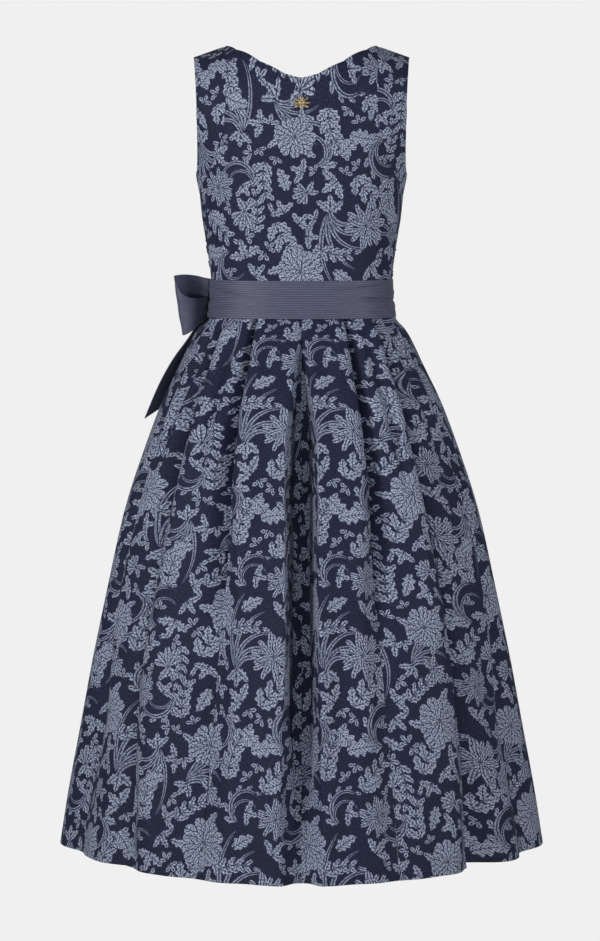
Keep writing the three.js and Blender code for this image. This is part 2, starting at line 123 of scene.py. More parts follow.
def round_stage(sides=72):
    """A floor that curves up into a wall all round, so that every view has the same paper behind."""
    cove = [math.radians(a) for a in range(0, 91, 10)]
    profile = [
        (STAGE_RADIUS - STAGE_COVE * (1 - math.sin(a)), STAGE_FLOOR + STAGE_COVE * (1 - math.cos(a)))
        for a in cove
    ]
    profile.append((STAGE_RADIUS, STAGE_TOP))
    turns = np.linspace(0, 2 * math.pi, sides, endpoint=False)
    points = [(0, 0, STAGE_FLOOR)]
    points += [(r * math.cos(t), r * math.sin(t), z) for r, z in profile for t in turns]
    faces = [(0, 1 + (i + 1) % sides, 1 + i) for i in range(sides)]
    for ring in range(len(profile) - 1):
        for i in range(sides):
            low, high, n = 1 + ring * sides, 1 + (ring + 1) * sides, (i + 1) % sides
            faces.append((low + i, low + n, high + n, high + i))
    mesh = bpy.data.meshes.new("round_stage")
    mesh.from_pydata(points, [], faces)
    stage = bpy.data.objects.new("round_stage", mesh)
    bpy.context.collection.objects.link(stage)
    material, tree = new_material("lit_studio_paper")
    glow = add_node(tree, "ShaderNodeEmission", {"Color": colour("#f0f0f0"), "Strength": 1.0})
    add_node(tree, "ShaderNodeOutputMaterial", {"Surface": glow.outputs[0]})
    mesh.materials.append(material)
    stage.visible_diffuse = False
    stage.visible_glossy = False
    return stage


def soft_box(name, place, aim, size, watts):
    data = bpy.data.lights.new(name, "AREA")
    data.shape = "RECTANGLE"
    data.size, data.size_y = size
    data.energy = watts
    data.spread = math.radians(BOX_SPREAD)
    box = bpy.data.objects.new(name, data)
    box.location = place
    box.rotation_euler = (Vector(aim) - Vector(place)).to_track_quat("-Z", "Y").to_euler()
    bpy.context.collection.objects.link(box)


round_stage()
for box in SOFT_BOXES:
    soft_box(*box)
world = bpy.data.worlds.new("studio")
bpy.context.scene.world = world
world.use_nodes = True
sky = world.node_tree.nodes["Background"].inputs
sky["Color"].default_value = colour("#f2f4f8")
sky["Strength"].default_value = SKY_STRENGTH
print("stage and", len(SOFT_BOXES), "soft boxes")

# %% [markdown]
# ## The form that the cloth follows
# The cloth takes the same form as the frame's walls. Short tables give its half widths and depths
# at each height, in millimetres, and a smooth curve runs through each column. The torso's plan is a
# rounded oval whose upper part turns forward over the shoulders.


# %% Tables and curves
def table(columns, *rows):
    """Named columns, each an array with a value for every row."""
    return dict(zip(columns.split(), np.array(rows, float).T))


def rows_of(columns):
    return zip(*columns.values())


def read(rows, column, z):
    """A smooth curve through a column of a table whose heights run downwards."""
    heights, values = rows["z"][::-1], rows[column][::-1]
    z = np.clip(z, heights[0], heights[-1])
    wide = np.concatenate([heights[:1], heights, heights[-1:]])
    tall = np.concatenate([values[:1], values, values[-1:]])
    slopes = (tall[2:] - tall[:-2]) / (wide[2:] - wide[:-2])
    i = np.clip(np.searchsorted(heights, z) - 1, 0, len(heights) - 2)
    span = heights[i + 1] - heights[i]
    t = (z - heights[i]) / span
    bend = t * (1 - t) * span * (slopes[i] * (1 - t) - slopes[i + 1] * t)
    return values[i] + (values[i + 1] - values[i]) * t * t * (3 - 2 * t) + bend


def mix(a, b, t):
    return a + (b - a) * t


def bell(distance, spread):
    """1 at no distance, falling away softly on both sides."""
    return np.exp(-((distance / spread) ** 2))


def smooth_step(value, start, end):
    t = np.clip((value - start) / (end - start), 0, 1)
    return t * t * (3 - 2 * t)


TORSO = table(
    "z width back front",
    (-90, 193, 98, 86),
    (-110, 185, 102, 94),
    (-140, 170, 106, 106),
    (-170, 160, 107, 117),
    (-196, 157, 106, 122),
    (-223, 152, 104, 122),
    (-259, 148, 101, 115),
    (-295, 142, 98, 106),
    (-331, 136.8, 95.5, 99),
    (-351, 135, 94.5, 96.5),
    (-380, 133.8, 94, 94),
)
SKIRT = table(
    "z width depth square groove spread",
    (-380.3, 134, 94.2, 2.3, 3, 6),
    (-407.3, 139, 99, 2.3, 5, 6),
    (-421, 151, 110, 2.26, 8, 8),
    (-439, 162, 122, 2.22, 11, 10),
    (-475, 179, 142, 2.18, 15, 13),
    (-529, 205, 170, 2.14, 19, 17),
    (-600, 232, 199, 2.1, 22, 22),
    (-690, 262, 230, 2.07, 22, 27),
    (-790, 287, 256, 2.05, 21, 32),
    (-900, 312, 281, 2.04, 20, 36),
    (-1010, 333, 302, 2.03, 19, 40),
    (-1110, 352, 321, 2.02, 18, 43),
    (-1191, 365, 334, 2.02, 17, 45),
)
YOKE_Z = -90
SHOULDER_WRAP = 75  # radius with which the cloth turns over the shoulder
NECK_POINT_X = 115
SHOULDER_EASE = 2.4  # the cloth lies a little below the construction's shoulder line
STRAP_FALL = 0.35  # slope of the shoulder line beyond the neck point, and inside it
NECK_FALL = 0.5
TORSO_POWER = 2 / 2.3
QUARTER_FACTOR = 1.6  # a little over pi / 2, since the plan is squarer than an oval
HALF_GAP = 0.02  # back and front stand apart by twice this
CUP = {"depth": 9, "x": 68, "z": -214, "spread": 44}


# %% The torso's surface, from cloth coordinates to places
TORSO_ASPECT = 1.5  # width to depth, which spaces the cloth along a quarter of the plan
QUARTER = np.linspace(0, math.pi / 2, 400)
QUARTER_SIDE = TORSO_ASPECT * np.sin(QUARTER) ** TORSO_POWER
QUARTER_BACK = np.cos(QUARTER) ** TORSO_POWER
QUARTER_ARC = np.concatenate([[0], np.cumsum(np.hypot(np.diff(QUARTER_SIDE), np.diff(QUARTER_BACK)))])
QUARTER_ARC /= QUARTER_ARC[-1]


def quarter_round(width, depth):
    """Length of a quarter of the plan, from its half width and half depth."""
    return QUARTER_FACTOR * np.sqrt((width**2 + depth**2) / 2)


def half_sizes(rows, face, z):
    """Half width and depth of the plan, for the back (-1) or the front (1)."""
    return read(rows, "width", z), read(rows, "back" if face < 0 else "front", z)


def shoulder_height(x):
    outwards = np.abs(x) - NECK_POINT_X
    return np.where(outwards > 0, -STRAP_FALL * outwards, -NECK_FALL * outwards) - SHOULDER_EASE


def torso_place(face, across, rise):
    """across runs from the centre line round to the side; rise is the height up to the yoke, and
    above it the length of cloth over the shoulder."""
    level = np.minimum(rise, YOKE_Z)
    width, depth = half_sizes(TORSO, face, level)
    share = np.clip(np.abs(across) / quarter_round(width, depth), 0, 1)
    turn = np.interp(share, QUARTER_ARC, QUARTER)
    x = width * np.sin(turn) ** TORSO_POWER
    flat = np.cos(turn).clip(0) ** TORSO_POWER
    wrap = np.clip((rise - YOKE_Z) / SHOULDER_WRAP, 0, math.pi / 2)
    z = level + (shoulder_height(x) - YOKE_Z) * np.sin(wrap) * (rise > YOKE_Z)
    cup = CUP["depth"] * bell(np.hypot(x - CUP["x"], z - CUP["z"]), CUP["spread"])
    y = depth * flat * np.cos(wrap) + (cup * flat if face > 0 else 0)
    side = np.sign(across) + (across == 0)
    return np.stack([side * (x + HALF_GAP), face * (y + HALF_GAP), z], axis=-1)


def torso_cloth(face, x, z):
    """The cloth coordinates of a point seen from behind or from the front."""
    level = min(z, YOKE_Z)
    ratio = min(abs(x) / float(read(TORSO, "width", level)), 1)
    share = np.interp(math.asin(ratio ** (1 / TORSO_POWER)), QUARTER, QUARTER_ARC)
    across = math.copysign(float(share * quarter_round(*half_sizes(TORSO, face, level))), x)
    lift = np.clip((z - YOKE_Z) / (float(shoulder_height(x)) - YOKE_Z), 0, 1)
    return across, level + SHOULDER_WRAP * math.asin(lift)


# %% [markdown]
# ## The jacquard's figure
# A jacquard figure is woven, so here it is cut into the cloth's own mesh: the outline of every leaf
# and petal becomes edges of the cloth, and the faces inside it take the pale yarn. That keeps the
# outlines sharp at any distance. All shapes are blades around a curved spine. The repeat is a
# general arrangement of flowers, lobed leaves, plumes and sprays, 240 mm wide and 330 mm high, and
# every second column of it is shifted down by half its height.

# %% Blades: one outline around a curved spine
REPEAT_WIDE = 240.0
REPEAT_TALL = 330.0
LEAF, PETAL, PLUME, STEM = 0, 1, 2, 3
KINDS = 4
LEAF_STEP = 1.5  # millimetres between points of a leaf's outline, and of the smoother blades'
BLADE_STEP = 2.2
LEAF_HALF = 0.33  # half width of a leaf, as a share of its length


def blade_half_width(kind, t, lobes):
    """Share of the greatest half width at a share t of the length."""
    t = np.clip(t, 0.0, 1.0)
    lobe = np.where(lobes > 0, 0.5 + 0.5 * np.abs(np.sin(math.pi * (lobes * t**0.85 + 0.2))), 1.0)
    leaf = 2.56 * t**0.55 * (1 - t) ** 0.85 * lobe
    petal = np.sin(math.pi * t**1.7) ** 0.5
    plume = np.clip(t * 7, 0, 1) ** 0.5 * (1 - t) ** 0.5
    stem = np.sin(math.pi * np.clip(t, 0.03, 0.97)) ** 0.2
    return np.select([kind == LEAF, kind == PETAL, kind == PLUME], [leaf, petal, plume], stem)


def blade(kind, x, y, heading, length, half, bend=0.0, lobes=0):
    """heading and bend are in degrees; bend is how far the spine turns along its length."""
    t = np.linspace(0, 1, max(int(length / (LEAF_STEP if kind == LEAF else BLADE_STEP)), 9) + 1)
    curl = math.radians(bend if abs(bend) > 0.5 else 0.5) / length  # never quite straight
    turn = curl * length * t
    spine = np.stack([np.sin(turn) / curl, (1 - np.cos(turn)) / curl], axis=-1)
    side = np.stack([-np.sin(turn), np.cos(turn)], axis=-1)
    width = (half * blade_half_width(kind, t, lobes))[:, None]
    outline = np.concatenate([spine + side * width, (spine - side * width)[::-1]])
    cos, sin = math.cos(math.radians(heading)), math.sin(math.radians(heading))
    turned = outline @ np.array([[cos, sin], [-sin, cos]]) + [x, y]
    keep = np.linalg.norm(turned - np.roll(turned, 1, axis=0), axis=1) > 0.15
    return turned[keep][::-1], (x, y, math.radians(heading), length, half, curl, kind, lobes)


def on_spine(x, y, heading, length, bend, share):
    """The place and heading part of the way along a blade's spine."""
    curl = math.radians(bend) / length
    turn = curl * length * share
    ahead, aside = math.sin(turn) / curl, (1 - math.cos(turn)) / curl
    cos, sin = math.cos(math.radians(heading)), math.sin(math.radians(heading))
    return x + ahead * cos - aside * sin, y + ahead * sin + aside * cos, heading + math.degrees(turn)


# %% Flowers, sprays and plumes made of blades
def petal_rings(x, y, size, heading, rings, bend):
    """Rings of petals from the outside in, so that the inner ones lie on top. A ring is its number of
    petals and, as shares of the flower's size, where they start, their length and their half width."""
    for ring, (count, start, length, half) in enumerate(rings):
        for i in range(count):
            angle = heading + 360 * (i + 0.5 * (ring % 2)) / count + 5 * math.sin(2.3 * i + ring)
            reach = size * length * (1 + 0.13 * math.sin(1.9 * i + 2 * ring))
            out = math.radians(angle)
            at = (x + size * start * math.cos(out), y + size * start * math.sin(out))
            yield blade(PETAL, *at, angle, reach, size * half, bend=bend * math.sin(3.1 * i + 1))


def peony(x, y, size, heading):
    for turn in (35, 160, 275):
        px, py, _ = on_spine(x, y, heading + turn, size * 0.34, 1, 1)
        yield from lobed_leaf(px, py, size * 0.36, heading + turn + 12)
    rings = ((12, 0.2, 0.27, 0.125), (10, 0.12, 0.23, 0.11), (8, 0.04, 0.19, 0.09), (5, 0.0, 0.1, 0.055))
    yield from petal_rings(x, y, size, heading, rings, 30)


def aster(x, y, size, heading):
    rings = ((20, 0.17, 0.31, 0.06), (15, 0.1, 0.25, 0.06), (10, 0.03, 0.19, 0.055), (6, 0, 0.09, 0.04))
    yield from petal_rings(x, y, size, heading, rings, 40)


def bud(x, y, size, heading):
    for i in (-2, 2, -1, 1, 0):
        yield blade(PETAL, x, y, heading + 24 * i, size * (1 - 0.1 * abs(i)), size * 0.2, bend=14 * i)
    for turn in (150, -150):
        yield from lobed_leaf(x, y, size * 0.8, heading + turn)


def lobed_leaf(x, y, size, heading, bend=24):
    yield blade(LEAF, x, y, heading, size, size * LEAF_HALF, bend=bend, lobes=4)


def spray(x, y, size, heading, bend=46):
    """A curved stem with lobed leaves in pairs and one at its tip."""
    length = size * 0.86
    yield blade(STEM, x, y, heading, length, 1.2, bend=bend)
    for i in range(5):
        px, py, way = on_spine(x, y, heading, length, bend, 0.1 + 0.225 * i)
        leaf = size * (0.3 - 0.02 * i)
        for side in (0,) if i == 4 else (-1, 1):
            yield blade(LEAF, px, py, way + 50 * side, leaf, leaf * 0.34, bend=-26 * side, lobes=3)


def plumes(x, y, size, heading, bend=115):
    """A fan of long feathers that curl to one side, with a few leaves at their root."""
    for i in range(5):
        length = size * (1 - 0.12 * i)
        yield blade(PLUME, x, y, heading + 10 * (i - 2), length, size * 0.046, bend=bend + 22 * (i - 2))
    for i in (-1, 0, 1):
        yield from lobed_leaf(x, y, size * 0.22, heading + 180 + 52 * i)


def scroll(x, y, size, heading, bend=215):
    """A thick curled plume with lobed leaves along its outer side and a thin one along the inner."""
    for i in range(6):
        px, py, way = on_spine(x, y, heading, size, bend, 0.05 + 0.16 * i)
        leaf = size * (0.22 - 0.018 * i)
        way -= math.copysign(50, bend)
        yield blade(LEAF, px, py, way, leaf, leaf * 0.34, bend=math.copysign(50, bend), lobes=3)
    yield blade(PLUME, x, y, heading, size, size * 0.055, bend=bend)
    px, py, way = on_spine(x, y, heading, size, bend, 0.1)
    yield blade(PLUME, px, py, way + math.copysign(18, bend), size * 0.7, size * 0.035, bend=bend * 0.9)


# %% The repeat: where each motif stands
REPEAT = (
    # motif, across, down, size, heading
    (plumes, 104, 150, 120, -100),
    (plumes, 214, 100, 104, 72),
    (plumes, 26, 312, 96, -62),
    (scroll, 84, 216, 122, 20),
    (scroll, 190, 258, 108, 190),
    (scroll, 226, 20, 92, 60),
    (scroll, 116, 28, 86, -150),
    (spray, 22, 140, 96, -76),
    (spray, 140, 206, 92, -60),
    (spray, 200, 204, 84, -100),
    (spray, 100, 306, 86, -96),
    (spray, 152, 322, 78, -70),
    (spray, 10, 226, 76, -110),
    (spray, 228, 282, 66, 62),
    (spray, 88, 96, 64, -30),
    (spray, 14, 36, 64, -60),
    (peony, 60, 62, 74, 10),
    (aster, 160, 130, 72, 0),
    (peony, 52, 258, 64, 30),
    (aster, 172, 22, 58, 8),
    (lobed_leaf, 118, 232, 42, 40),
    (lobed_leaf, 132, 262, 44, -20),
    (lobed_leaf, 40, 180, 36, 100),
    (lobed_leaf, 196, 152, 38, -30),
    (lobed_leaf, 110, 64, 36, -40),
    (lobed_leaf, 184, 300, 36, 150),
    (bud, 216, 316, 30, -100),
    (bud, 60, 318, 26, 60),
    (bud, 70, 178, 24, 200),
)
# Sprigs of three leaves in the gaps, the largest first: room is the free distance round their root,
# and reach is the length of a leaf
FILL = table(
    "tries room reach lobes",
    (700, 17, 27, 4),
    (1000, 12, 20, 3),
    (1500, 8, 14, 2),
)
FILL_SEED = 11
SPRIG_TURNS = (-64, 64, 0)


def gap(points, spot):
    """Distance from a spot to the nearest of the points, in the endless half-drop pattern."""
    away = points - spot
    column = np.round(away[:, 0] / REPEAT_WIDE)
    down = away[:, 1] - (column % 2) * REPEAT_TALL / 2
    down = down - np.round(down / REPEAT_TALL) * REPEAT_TALL
    return np.hypot(away[:, 0] - column * REPEAT_WIDE, down).min()


def weave_repeat():
    """All blades of one repeat, with sprigs in the gaps, each as its outline and its shape."""
    blades = [part for motif, x, y, size, heading in REPEAT for part in motif(x, y, size, heading)]
    taken = np.concatenate([outline for outline, _ in blades])
    random = np.random.default_rng(FILL_SEED)
    for tries, room, reach, lobes in rows_of(FILL):
        for _ in range(int(tries)):
            spot = random.uniform((0, 0), (REPEAT_WIDE, REPEAT_TALL))
            if gap(taken, spot) < room:
                continue
            heading, size = random.uniform(0, 360), reach * random.uniform(0.85, 1.15)
            for turn in SPRIG_TURNS:
                half = size * LEAF_HALF
                leaf = blade(LEAF, *spot, heading + turn, size, half, bend=turn / 3, lobes=lobes)
                blades.append(leaf)
                taken = np.concatenate([taken, leaf[0]])
    return blades


repeat_blades = weave_repeat()
print("repeat:", len(repeat_blades), "blades,", sum(len(o) for o, _ in repeat_blades), "outline points")

# %% [markdown]
# ## Cutting cloth with the figure in it
# A panel starts flat, in cloth coordinates. A constrained triangulation takes its outline, the
# outlines of the blades that fall on it and a loose grid of points, and the flat mesh is then laid
# on the form. Each corner keeps its place on its blade, from which the yarn's veins are drawn.

# %% A flat panel with the figure
GRID_STEP = 4.6  # millimetres between points of plain cloth
GRID_ROW = 0.87  # the rows lie closer, so that the triangles are even
OUTLINE_STEP = 3.0
CLEARANCE = 1.1  # plain points keep this far from every outline
MERGE = 0.004  # corners nearer than this become one
SMALLEST = 1e-5  # square millimetres; thinner triangles are left out
COLUMNS = 60  # more repeats than any panel has across or down


def resample(points, step=OUTLINE_STEP):
    """An open line through the points with a vertex every step."""
    points = np.asarray(points, float)
    lengths = np.concatenate([[0], np.cumsum(np.linalg.norm(np.diff(points, axis=0), axis=1))])
    count = max(int(round(lengths[-1] / step)), 1)
    at = np.linspace(0, lengths[-1], count + 1)
    return np.stack([np.interp(at, lengths, points[:, k]) for k in (0, 1)], axis=-1)


def blades_on(low, high, offset):
    """Outlines and shapes of the blades that touch a box of cloth, in the panel's coordinates."""
    found = []
    for outline, shape in repeat_blades:
        first, last = outline.min(axis=0), outline.max(axis=0)
        for i in range(math.floor((low[0] + offset[0] - last[0]) / REPEAT_WIDE), COLUMNS):
            dx = i * REPEAT_WIDE - offset[0]
            if first[0] + dx > high[0]:
                break
            if last[0] + dx < low[0]:
                continue
            drop = (i % 2) * REPEAT_TALL / 2 - offset[1]
            for j in range(math.floor((low[1] - drop - last[1]) / REPEAT_TALL), COLUMNS):
                dy = j * REPEAT_TALL + drop
                if first[1] + dy > high[1]:
                    break
                if last[1] + dy < low[1]:
                    continue
                found.append((outline + [dx, dy], (shape[0] + dx, shape[1] + dy, *shape[2:])))
    return found


# %% Places on the blades
YARN_LENGTH = 100.0  # millimetres; the yarn attribute holds lengths and half widths as shares of these
YARN_HALF = 20.0
THINNEST = 0.12  # a blade counts as at least this share of its full width
PLAIN = (0, 0, 0, 1, 1, 1, -1, 0)  # the shape of cloth that lies on no blade


def blade_coordinates(points, shapes):
    """Along (0 to 1) and across (-1 to 1) each point's own blade, and its half width there."""
    x0, y0, heading, length, half, curl, kind, lobes = shapes.T
    dx, dy = points[:, 0] - x0, points[:, 1] - y0
    x = dx * np.cos(heading) + dy * np.sin(heading)
    y = -dx * np.sin(heading) + dy * np.cos(heading)
    radius = 1 / np.abs(curl)
    across = 1 / curl - np.sign(curl) * np.hypot(x, y - 1 / curl)
    along = np.arctan2(x, radius - np.sign(curl) * y) * radius / length
    here = half * np.clip(blade_half_width(kind, along, lobes), THINNEST, 1)
    return along, np.clip(across / here, -1, 1), here


def anticlockwise(line):
    following = np.roll(line, -1, axis=0)
    area = (line[:, 0] * following[:, 1] - line[:, 1] * following[:, 0]).sum()
    return line if area > 0 else line[::-1]


# %% Cutting a panel
def tree_of(points):
    """A search tree for the nearest of some flat points."""
    tree = KDTree(len(points))
    for i, (x, y) in enumerate(points):
        tree.insert((x, y, 0), i)
    tree.balance()
    return tree


def cut_panel(outline, offset, near_edges=()):
    """Points, triangles, which of them lie on a blade, and the corners' blade coordinates."""
    outline = anticlockwise(np.asarray(outline))
    low, high = outline.min(axis=0), outline.max(axis=0)
    figures = blades_on(low, high, offset)
    columns = np.arange(low[0], high[0], GRID_STEP)
    rows = np.arange(low[1], high[1], GRID_STEP * GRID_ROW)
    grid = np.stack(np.meshgrid(columns, rows), axis=-1)
    grid[1::2, :, 0] += GRID_STEP / 2
    loose = np.concatenate([grid.reshape(-1, 2), *near_edges])
    lines = [outline] + [line for line, _ in figures]
    fixed = np.concatenate(lines)
    tree = tree_of(fixed)
    loose = np.array([p for p in loose if tree.find((p[0], p[1], 0))[2] > CLEARANCE])
    points = [Vector(p) for p in np.concatenate([fixed, loose])]
    faces, start = [], 0
    for line in lines:
        faces.append(list(range(start, start + len(line))))
        start += len(line)
    cut = delaunay_2d_cdt(points, [], faces, 0, MERGE)
    inside = [i for i, owners in enumerate(cut[5]) if 0 in owners]
    flat = np.array([(p.x, p.y) for p in cut[0]])
    triangles = np.array([cut[2][i] for i in inside])
    owner = np.array([max(cut[5][i]) for i in inside])
    used, triangles = np.unique(triangles, return_inverse=True)
    triangles = triangles.reshape(-1, 3)
    flat = flat[used]
    size = np.abs(np.cross(*(flat[triangles[:, k]] - flat[triangles[:, 0]] for k in (1, 2))))
    triangles, owner = triangles[size > SMALLEST], owner[size > SMALLEST]
    shapes = np.array([PLAIN] + [shape for _, shape in figures], float)[owner]
    corner_shapes = np.repeat(shapes, 3, axis=0)
    along, across, here = blade_coordinates(flat[triangles.ravel()], corner_shapes)
    length, kind = along * corner_shapes[:, 3] / YARN_LENGTH, corner_shapes[:, 6]
    yarn = np.stack([length, across * 0.5 + 0.5, here / YARN_HALF, kind / KINDS], axis=-1)
    yarn[kind < 0] = (0, 0, 0, 1)
    return flat, triangles, owner > 0, yarn


# %% Laying panels on the form and giving them thickness
INSIDE = (0, 0, -250)  # millimetres; a place within the dress, which tells inwards from outwards


def plain_mesh(piece):
    """What a piece's modifiers make of it, as a mesh of its own."""
    bpy.context.view_layer.update()
    return bpy.data.meshes.new_from_object(piece.evaluated_get(bpy.context.evaluated_depsgraph_get()))


def cloth_object(name, parts, materials, thickness):
    """One closed piece of cloth; each part is (places in mm, faces, figured, yarn, cloth in mm)."""
    places, faces, figured, yarn, cloth, start = [], [], [], [], [], 0
    for part_places, part_faces, part_figured, part_yarn, part_cloth in parts:
        places.append(part_places)
        faces.append(part_faces + start)
        figured.append(part_figured)
        yarn.append(part_yarn)
        cloth.append(part_cloth[part_faces.ravel()])
        start += len(part_places)
    faces = np.concatenate(faces)
    mesh = bpy.data.meshes.new(name)
    mesh.from_pydata(np.concatenate(places) * MM, [], faces.tolist())
    on_cloth = (np.concatenate(cloth) * MM).astype("f")
    mesh.uv_layers.new(name="cloth").uv.foreach_set("vector", on_cloth.ravel())
    if np.concatenate(figured).any():
        layer = mesh.color_attributes.new("yarn", "FLOAT_COLOR", "CORNER")
        layer.data.foreach_set("color", np.concatenate(yarn).astype("f").ravel())
    mesh.polygons.foreach_set("material_index", np.concatenate(figured).astype("i"))
    mesh.polygons.foreach_set("use_smooth", np.ones(len(faces), bool))
    for material in materials:
        mesh.materials.append(material)
    piece = bpy.data.objects.new(name, mesh)
    bpy.context.collection.objects.link(piece)
    wall = piece.modifiers.new("wall", "SOLIDIFY")
    wall.thickness = thickness * MM
    wall.offset = -1
    wall.material_offset = len(materials) // 2 if len(materials) > 2 else 0
    wall.use_quality_normals = True
    finished = plain_mesh(piece)
    piece.modifiers.clear()
    piece.data = finished
    finished.name = name
    finished.validate()
    return piece


# %% Normals and the finished panel
def panel_normals(place, flat, step=0.5):
    """Outward normals of a surface at cloth coordinates."""
    right = place(flat + [step, 0]) - place(flat - [step, 0])
    down = place(flat + [0, step]) - place(flat - [0, step])
    normal = np.cross(right, down)
    normal /= np.linalg.norm(normal, axis=1, keepdims=True) + 1e-9
    here = place(flat)
    outwards = np.einsum("ij,ij->i", normal, here - INSIDE)
    return normal * np.where(outwards < 0, -1, 1)[:, None]


def face_outwards(places, triangles, normals):
    """The order in which a panel's corners are taken, so that its triangles look outwards."""
    a, b, c = (places[triangles[:, k]] for k in range(3))
    wrong = np.einsum("ij,ij->i", np.cross(b - a, c - a), normals[triangles[:, 0]]).sum() < 0
    return np.array([0, 2, 1]) if wrong else np.array([0, 1, 2])


def laid_panel(outline, offset, place, near_edges=(), shape=None):
    """Cuts a panel flat and lays it on the form; shape may move its points along the normals."""
    flat, triangles, figured, yarn = cut_panel(outline, offset, near_edges)
    normals = panel_normals(place, flat)
    places = place(flat)
    if shape is not None:
        places = places + normals * shape(flat)[:, None]
    order = face_outwards(places, triangles, normals)
    yarn = yarn.reshape(-1, 3, 4)[:, order].reshape(-1, 4)
    return places, triangles[:, order], figured, yarn, flat + offset


# %% [markdown]
# ## Cloths and metal
# The jacquard has a pale figure on a navy ground. Both yarns are matt, with a slight sheen at grazing
# angles, and the figure is broken by navy veins and by the weave. The apron cloth is a ribbed
# taffeta, smoother and a little shinier. The charm is an aged light brass. Threads are really a few
# tenths of a millimetre apart, which is too fine to show, so every weave is drawn as coarse as it
# needs to be.

# %% Weaves, in repeats to the metre
SPECKS = 420.0  # a speck of the other yarn every 2.4 mm
TWILL = 160.0  # a wave texture's phase is ten times this, so its slanting lines are 2.8 mm apart
RIBS = 95.0  # and twenty times this when its bands are level, so the ribs are 3.3 mm apart
SHADE_DRIFT = 14.0  # slow changes of shade, about 7 cm wide
RIB_STRETCH = (0.14, 1.0, 1.0)  # ribs run on across the cloth without a break
WEAVE_RELIEF = 0.0004  # metres
OTHER_YARN = 0.62  # the greatest share of the other yarn in a speck


# %% Jacquard yarns
def yarn_material(name, light, dark, veined, speckle):
    """One yarn of the jacquard: light where it floats on top, dark where the other yarn shows."""
    material, tree = new_material(name)
    cloth = add_node(tree, "ShaderNodeUVMap", uv_map="cloth").outputs[0]
    grain = add_node(tree, "ShaderNodeTexNoise", {"Vector": cloth, "Scale": SPECKS, "Detail": 1.5})
    twill = add_node(
        tree,
        "ShaderNodeTexWave",
        {"Vector": cloth, "Scale": TWILL, "Distortion": 1.0, "Detail Scale": 2.0},
        bands_direction="DIAGONAL",
    )
    low, high = 0.5 - speckle, 0.5 + speckle
    broken = add_node(
        tree,
        "ShaderNodeMapRange",
        {"Value": grain.outputs["Fac"], "From Min": low, "From Max": high, "To Max": OTHER_YARN},
    )
    cover = broken.outputs[0]
    if veined:
        cover = vein_nodes(tree, cover)
    drift = add_node(tree, "ShaderNodeTexNoise", {"Vector": cloth, "Scale": SHADE_DRIFT, "Detail": 2.0})
    shade = add_node(
        tree, "ShaderNodeMapRange", {"Value": drift.outputs["Fac"], "To Min": 0.9, "To Max": 1.1}
    )
    tint = add_node(
        tree, "ShaderNodeMixRGB", {"Fac": cover, "Color1": colour(light), "Color2": colour(dark)}
    )
    even = add_node(
        tree, "ShaderNodeVectorMath", {0: tint.outputs[0], 1: shade.outputs[0]}, operation="MULTIPLY"
    )
    bump = add_node(
        tree,
        "ShaderNodeBump",
        {"Height": twill.outputs["Fac"], "Strength": 0.25, "Distance": WEAVE_RELIEF},
    )
    surface = add_node(
        tree,
        "ShaderNodeBsdfPrincipled",
        {
            "Base Color": even.outputs[0],
            "Roughness": 0.72,
            "Specular IOR Level": 0.25,
            "Sheen Weight": 0.04,
            "Sheen Roughness": 0.4,
            "Normal": bump.outputs[0],
        },
    )
    add_node(tree, "ShaderNodeOutputMaterial", {"Surface": surface.outputs[0]})
    return material


# %% Veins of the figure
RIM_WIDTH = 1.3  # millimetres of navy along each blade's rim
RIM_GAP = 2.1  # side veins end this far from the rim
MIDRIB_WIDTH = 0.6
VEIN_STEP = 5.2
VEIN_SLANT = 1.3
VEIN_SINE = 0.45  # the higher, the thinner the side veins
BARB_STEP = 2.2  # a plume has barbs that run along it
DARK = {"field": 0.1, "side_vein": 0.45, "midrib": 0.75, "rim": 0.9, "plume": 0.2}


def vein_nodes(tree, cover):
    """Darkens the yarn along a blade's midrib, side veins and rim; lines are sized in millimetres."""
    place = add_node(tree, "ShaderNodeVertexColor", layer_name="yarn")
    parts = add_node(tree, "ShaderNodeSeparateColor", {"Color": place.outputs["Color"]})

    def maths(operation, *values):
        return add_node(tree, "ShaderNodeMath", dict(enumerate(values)), operation=operation).outputs[0]

    share = maths("ABSOLUTE", maths("MULTIPLY_ADD", parts.outputs[1], 2.0, -1.0))
    half = maths("MULTIPLY", parts.outputs[2], YARN_HALF)
    from_midrib = maths("MULTIPLY", share, half)
    from_rim = maths("SUBTRACT", half, from_midrib)
    along = maths("MULTIPLY", parts.outputs[0], YARN_LENGTH)
    rim = maths("LESS_THAN", from_rim, maths("MINIMUM", RIM_WIDTH, maths("MULTIPLY", half, 0.25)))
    inner = maths("GREATER_THAN", from_rim, maths("MINIMUM", RIM_GAP, maths("MULTIPLY", half, 0.45)))
    midrib = maths("LESS_THAN", from_midrib, MIDRIB_WIDTH)
    outwards = maths("MULTIPLY", from_midrib, VEIN_SLANT)
    slant = maths("SUBTRACT", maths("MULTIPLY", along, 2 * math.pi / VEIN_STEP), outwards)
    barb = maths("MULTIPLY", from_midrib, 2 * math.pi / BARB_STEP)
    feather = maths("GREATER_THAN", place.outputs["Alpha"], (PETAL + PLUME) / 2 / KINDS)
    on_leaf = maths("MULTIPLY", slant, maths("SUBTRACT", 1.0, feather))
    phase = maths("ADD", on_leaf, maths("MULTIPLY", barb, feather))
    side_vein = maths("GREATER_THAN", maths("SINE", phase), VEIN_SINE)
    lines = maths("MULTIPLY", inner, maths("MULTIPLY_ADD", side_vein, DARK["side_vein"], DARK["field"]))
    for where, line in (("midrib", midrib), ("rim", rim), ("plume", feather)):
        lines = maths("ADD", lines, maths("MULTIPLY", line, DARK[where]))
    return maths("MINIMUM", maths("ADD", cover, lines), 1.0)


